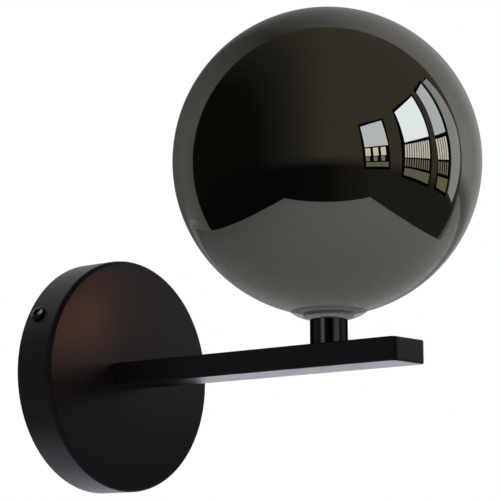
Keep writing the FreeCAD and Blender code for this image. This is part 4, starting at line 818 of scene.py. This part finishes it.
to_right = along(tree, way.outputs[0], right_way, -1.0, 1.0)
warm_side = colour_ramp(tree, to_right, [(0.0, "#211f1a"), (0.12, "#24221d"), (0.31, "#504b43"),
                                         (0.5, "#6f695c"), (0.75, "#756c60")])
low_side = colour_ramp(tree, to_right, [(0.2, "#1c1b19"), (0.5, "#24221f"), (0.8, "#4a4641")])
grey_side = colour_ramp(tree, to_right, [(0.1, "#90908d"), (0.2, "#747470"), (0.33, "#565652"),
                                         (0.46, "#828280"), (0.56, "#9c9c9a"), (0.68, "#b4b4b0"),
                                         (0.85, "#c0c0bc"), (0.93, "#dcdcd8")])
below = along(tree, way.outputs[0], Vector((0, 0, -1)), 0.12, 0.26)
low_behind = along(tree, way.outputs[0], Vector((0, 0, -1)), -0.02, 0.08)
dark_low = add_node(tree, "ShaderNodeMix", {"Factor": below, 6: warm_side, 7: low_side},
                    data_type="RGBA")
light_low = add_node(tree, "ShaderNodeMix", {"Factor": low_behind, 6: grey_side,
                                             7: linear("#918f8c")}, data_type="RGBA")
camera_side = along(tree, way.outputs[0], camera_way, TENT_EDGE - 0.01, TENT_EDGE + 0.01)
cloth = add_node(tree, "ShaderNodeMix", {"Factor": camera_side, 6: light_low.outputs[2],
                                         7: dark_low.outputs[2]}, data_type="RGBA")
glow = add_node(tree, "ShaderNodeEmission", {"Color": cloth.outputs[2], "Strength": 1.0})
tree.links.new(glow.outputs[0], surface)
tent = tent_of("tent", TENT_RADIUS, tent_cloth)

# The light boxes. Each leans as an upright box close by does: (turn, rise) of its top, its crossbar
# and its foot, from left to right, the number of slats below, and how bright it is.
LIGHT_BOXES = [
    ([(-29, 13), (-13, 18)], [(-26, -1), (-9, 2)], [(-24, -14), (-7, -12)], 3, 2.9),
    ([(-1, 24), (20, 34)], [(4, 5), (25, 11)], [(6, -15), (29, -15)], 11, 4.9),
    ([(27, 36), (39, 40)], [(31, 12), (43, 15)], [(38, -14), (49, -13)], 5, 2.5),
]
LIGHT_DISTANCE = 2.1
FRAME_DISTANCE = 2.2
FRAME_WIDTH = 1.6                            # degrees
CROSSBAR = 0.07                              # share of the lower part's height
# Bands of the lower part: from, to, share of each slat that is lit, and brightness.
SLAT_BANDS = [(CROSSBAR, 0.46, 0.66, 3.0), (0.5, 0.72, 0.5, 0.8), (0.78, 1.0, 0.97, 0.75)]


def linked_to(name, *pieces, state="INCLUDE"):
    """A collection that links a light to these pieces, or leaves them out."""
    linked = bpy.data.collections.new(name)
    for piece in pieces:
        linked.objects.link(piece)
    for item in linked.collection_objects:
        item.light_linking.link_state = state
    return linked


def at(corner, middle_turn, distance):
    """The point in this direction on the upright plane that far away at the box's middle."""
    way = facing(*corner)
    return GLOBE_CENTRE + way * (distance / way.dot(facing(middle_turn)))


def between(one, other, share):
    return tuple(a + (b - a) * share for a, b in zip(one, other))


canopy, arm, arm_cap, stem = (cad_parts[node] for node in
                              ("canopy_cover", "arm_bar", "arm_end_cap", "stem_tube"))
not_black = linked_to("all_but_black_pieces", canopy, arm, arm_cap, stem, side_screws,
                      state="EXCLUDE")


def light_shapes(name, colour, strength, faces):
    lit = polygons(name, glowing(name, colour, strength), faces)
    lit.visible_camera = False
    lit.light_linking.receiver_collection = not_black


frames = []
for number, (top, crossbar, foot, count, brightness) in enumerate(LIGHT_BOXES):
    turn = (crossbar[0][0] + crossbar[1][0]) / 2
    light_shapes(f"box_top_{number}", "#eef5ff", brightness,
                 [[at(corner, turn, LIGHT_DISTANCE)
                   for corner in (top[0], top[1], crossbar[1], crossbar[0])]])
    for band, (upper, lower, lit_share, strength) in enumerate(SLAT_BANDS):
        strips = []
        for i in range(count):
            left, right = i / count, (i + lit_share) / count
            corners = [between(between(*crossbar, share), between(*foot, share), level)
                       for share, level in ((left, upper), (right, upper),
                                            (right, lower), (left, lower))]
            strips.append([at(corner, turn, LIGHT_DISTANCE) for corner in corners])
        light_shapes(f"box_slats_{number}_{band}", "#fff8ee" if band < 2 else "#e9e2b8",
                     strength, strips)
    corners = [(top[0][0] - FRAME_WIDTH, top[0][1] + FRAME_WIDTH),
               (top[1][0] + FRAME_WIDTH, top[1][1] + FRAME_WIDTH),
               (foot[1][0] + FRAME_WIDTH, foot[1][1] - FRAME_WIDTH),
               (foot[0][0] - FRAME_WIDTH, foot[0][1] - FRAME_WIDTH)]
    frames.append([at(corner, turn, FRAME_DISTANCE) for corner in corners])
light_shapes("box_frames", "#16130f", 1.0, frames)
# A pale upright strip beside the last one: the turn of its middle, and (turn, rise) round its edge.
STRIP_TURN = 50
STRIP_BY_BOXES = [(43, 40), (50, 42), (58, 17), (60, 0), (61, -13), (52, -12), (49, -2), (46, 15)]
light_shapes("strip_by_boxes", "#cbc9ca", 1.9,
             [[at(corner, STRIP_TURN, FRAME_DISTANCE) for corner in STRIP_BY_BOXES]])

# Around the black pieces hang a dim tent and cards of their own. Light linking keeps these off the
# globe, and lets each light pass through the rest of the set.
satin = linked_to("satin_black_pieces", canopy, arm, arm_cap, side_screws)
stem_only = linked_to("stem_only", stem)
canopy_only = linked_to("canopy_only", canopy, side_screws)
arm_only = linked_to("arm_only", arm, arm_cap)
screws_only = linked_to("screws_only", side_screws)
set_pieces = linked_to("floor_board_and_tents", floor, board, tent, state="EXCLUDE")
inner_tent = tent_of("inner_tent", INNER_TENT_RADIUS, glowing("inner_tent_cloth", "#6a686a", 1.0))
inner_tent.light_linking.receiver_collection = satin
inner_tent.light_linking.blocker_collection = set_pieces
all_but_globe = linked_to("all_but_globe", *lamp_pieces, floor, inner_tent, state="EXCLUDE")
for lit in (tent, board):
    lit.light_linking.receiver_collection = not_black
    lit.light_linking.blocker_collection = all_but_globe


def card(name, target, turn, rise, distance, size, colour, strength, linked):
    """A soft rectangular light of this radiance, seen from its target at this turn and rise."""
    panel = bpy.data.lights.new(name, "AREA")
    panel.shape = "RECTANGLE"
    panel.size, panel.size_y = size
    panel.energy = strength * math.pi * size[0] * size[1]
    panel.color = linear(colour)[:3]
    light = put_in_scene(bpy.data.objects.new(name, panel))
    way = facing(turn, rise)
    light.location = target + way * distance
    light.rotation_euler = way.to_track_quat("Z", "Y").to_euler()
    light.visible_camera = False
    light.light_linking.receiver_collection = linked
    light.light_linking.blocker_collection = set_pieces


# Each card: what it points at, its turn and rise from there in degrees, its distance and its size in
# metres, its colour, its radiance, and the pieces that it lights.
CANOPY_FACE = Vector((0.0, -0.022, 0.0))
CANOPY_UPPER_LEFT = CANOPY_FACE + Vector((-0.056, 0.0, 0.047))
STEM_MIDDLE = LAMP_AXIS + Vector((0.0, 0.0, 0.012))
card("card_above", CANOPY_FACE, 165, 34, 1.2, (2.0, 1.0), "#fbf7f6", 0.42, canopy_only)
card("card_below", CANOPY_FACE, 155, -33, 0.25, (0.42, 0.24), "#efeeff", 0.78, canopy_only)
card("card_under_arm", CANOPY_FACE, 132, -14, 1.4, (1.6, 1.0), "#f1f0ff", 1.42, arm_only)
card("card_front", CANOPY_FACE, 47, 22, 0.5, (0.45, 0.35), "#fffaf8", 0.5, satin)
card("stem_light_left", STEM_MIDDLE, -91, 11, 1.2, (0.4, 0.6), "#fff6f0", 1.9, stem_only)
card("stem_light_right", STEM_MIDDLE, -5, 11, 1.2, (0.75, 0.6), "#f4f6ff", 1.1, stem_only)
card("stem_light_far_left", STEM_MIDDLE, -135, 5, 0.9, (0.7, 0.6), "#fbf7f6", 0.16, stem_only)
card("stem_light_far_right", STEM_MIDDLE, 45, 5, 0.9, (0.6, 0.6), "#f4f4ff", 0.3, stem_only)
card("screw_light", CANOPY_FACE, -100, 40, 0.4, (0.2, 0.1), "#fbf9ff", 2.4, screws_only)
card("warm_light", CANOPY_UPPER_LEFT, 46, 7, 0.13, (0.04, 0.07), "#ffa078", 4.2, canopy_only)

# A soft overhead light for the floor and the inner pieces, kept off the globe, its seat and the
# coated black pieces.
overhead = bpy.data.lights.new("overhead", "SUN")
overhead.energy = 2.4
overhead.angle = math.radians(50)
overhead_lamp = put_in_scene(bpy.data.objects.new("overhead", overhead))
overhead_lamp.rotation_euler = facing(-70, 58).to_track_quat("Z", "Y").to_euler()
overhead_lamp.light_linking.receiver_collection = linked_to(
    "all_but_globe_seat_and_coated_pieces", canopy, arm, arm_cap, stem, globe,
    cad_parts["globe_seat"], state="EXCLUDE")
overhead_lamp.light_linking.blocker_collection = linked_to(
    "board_and_tents", board, tent, inner_tent, state="EXCLUDE")
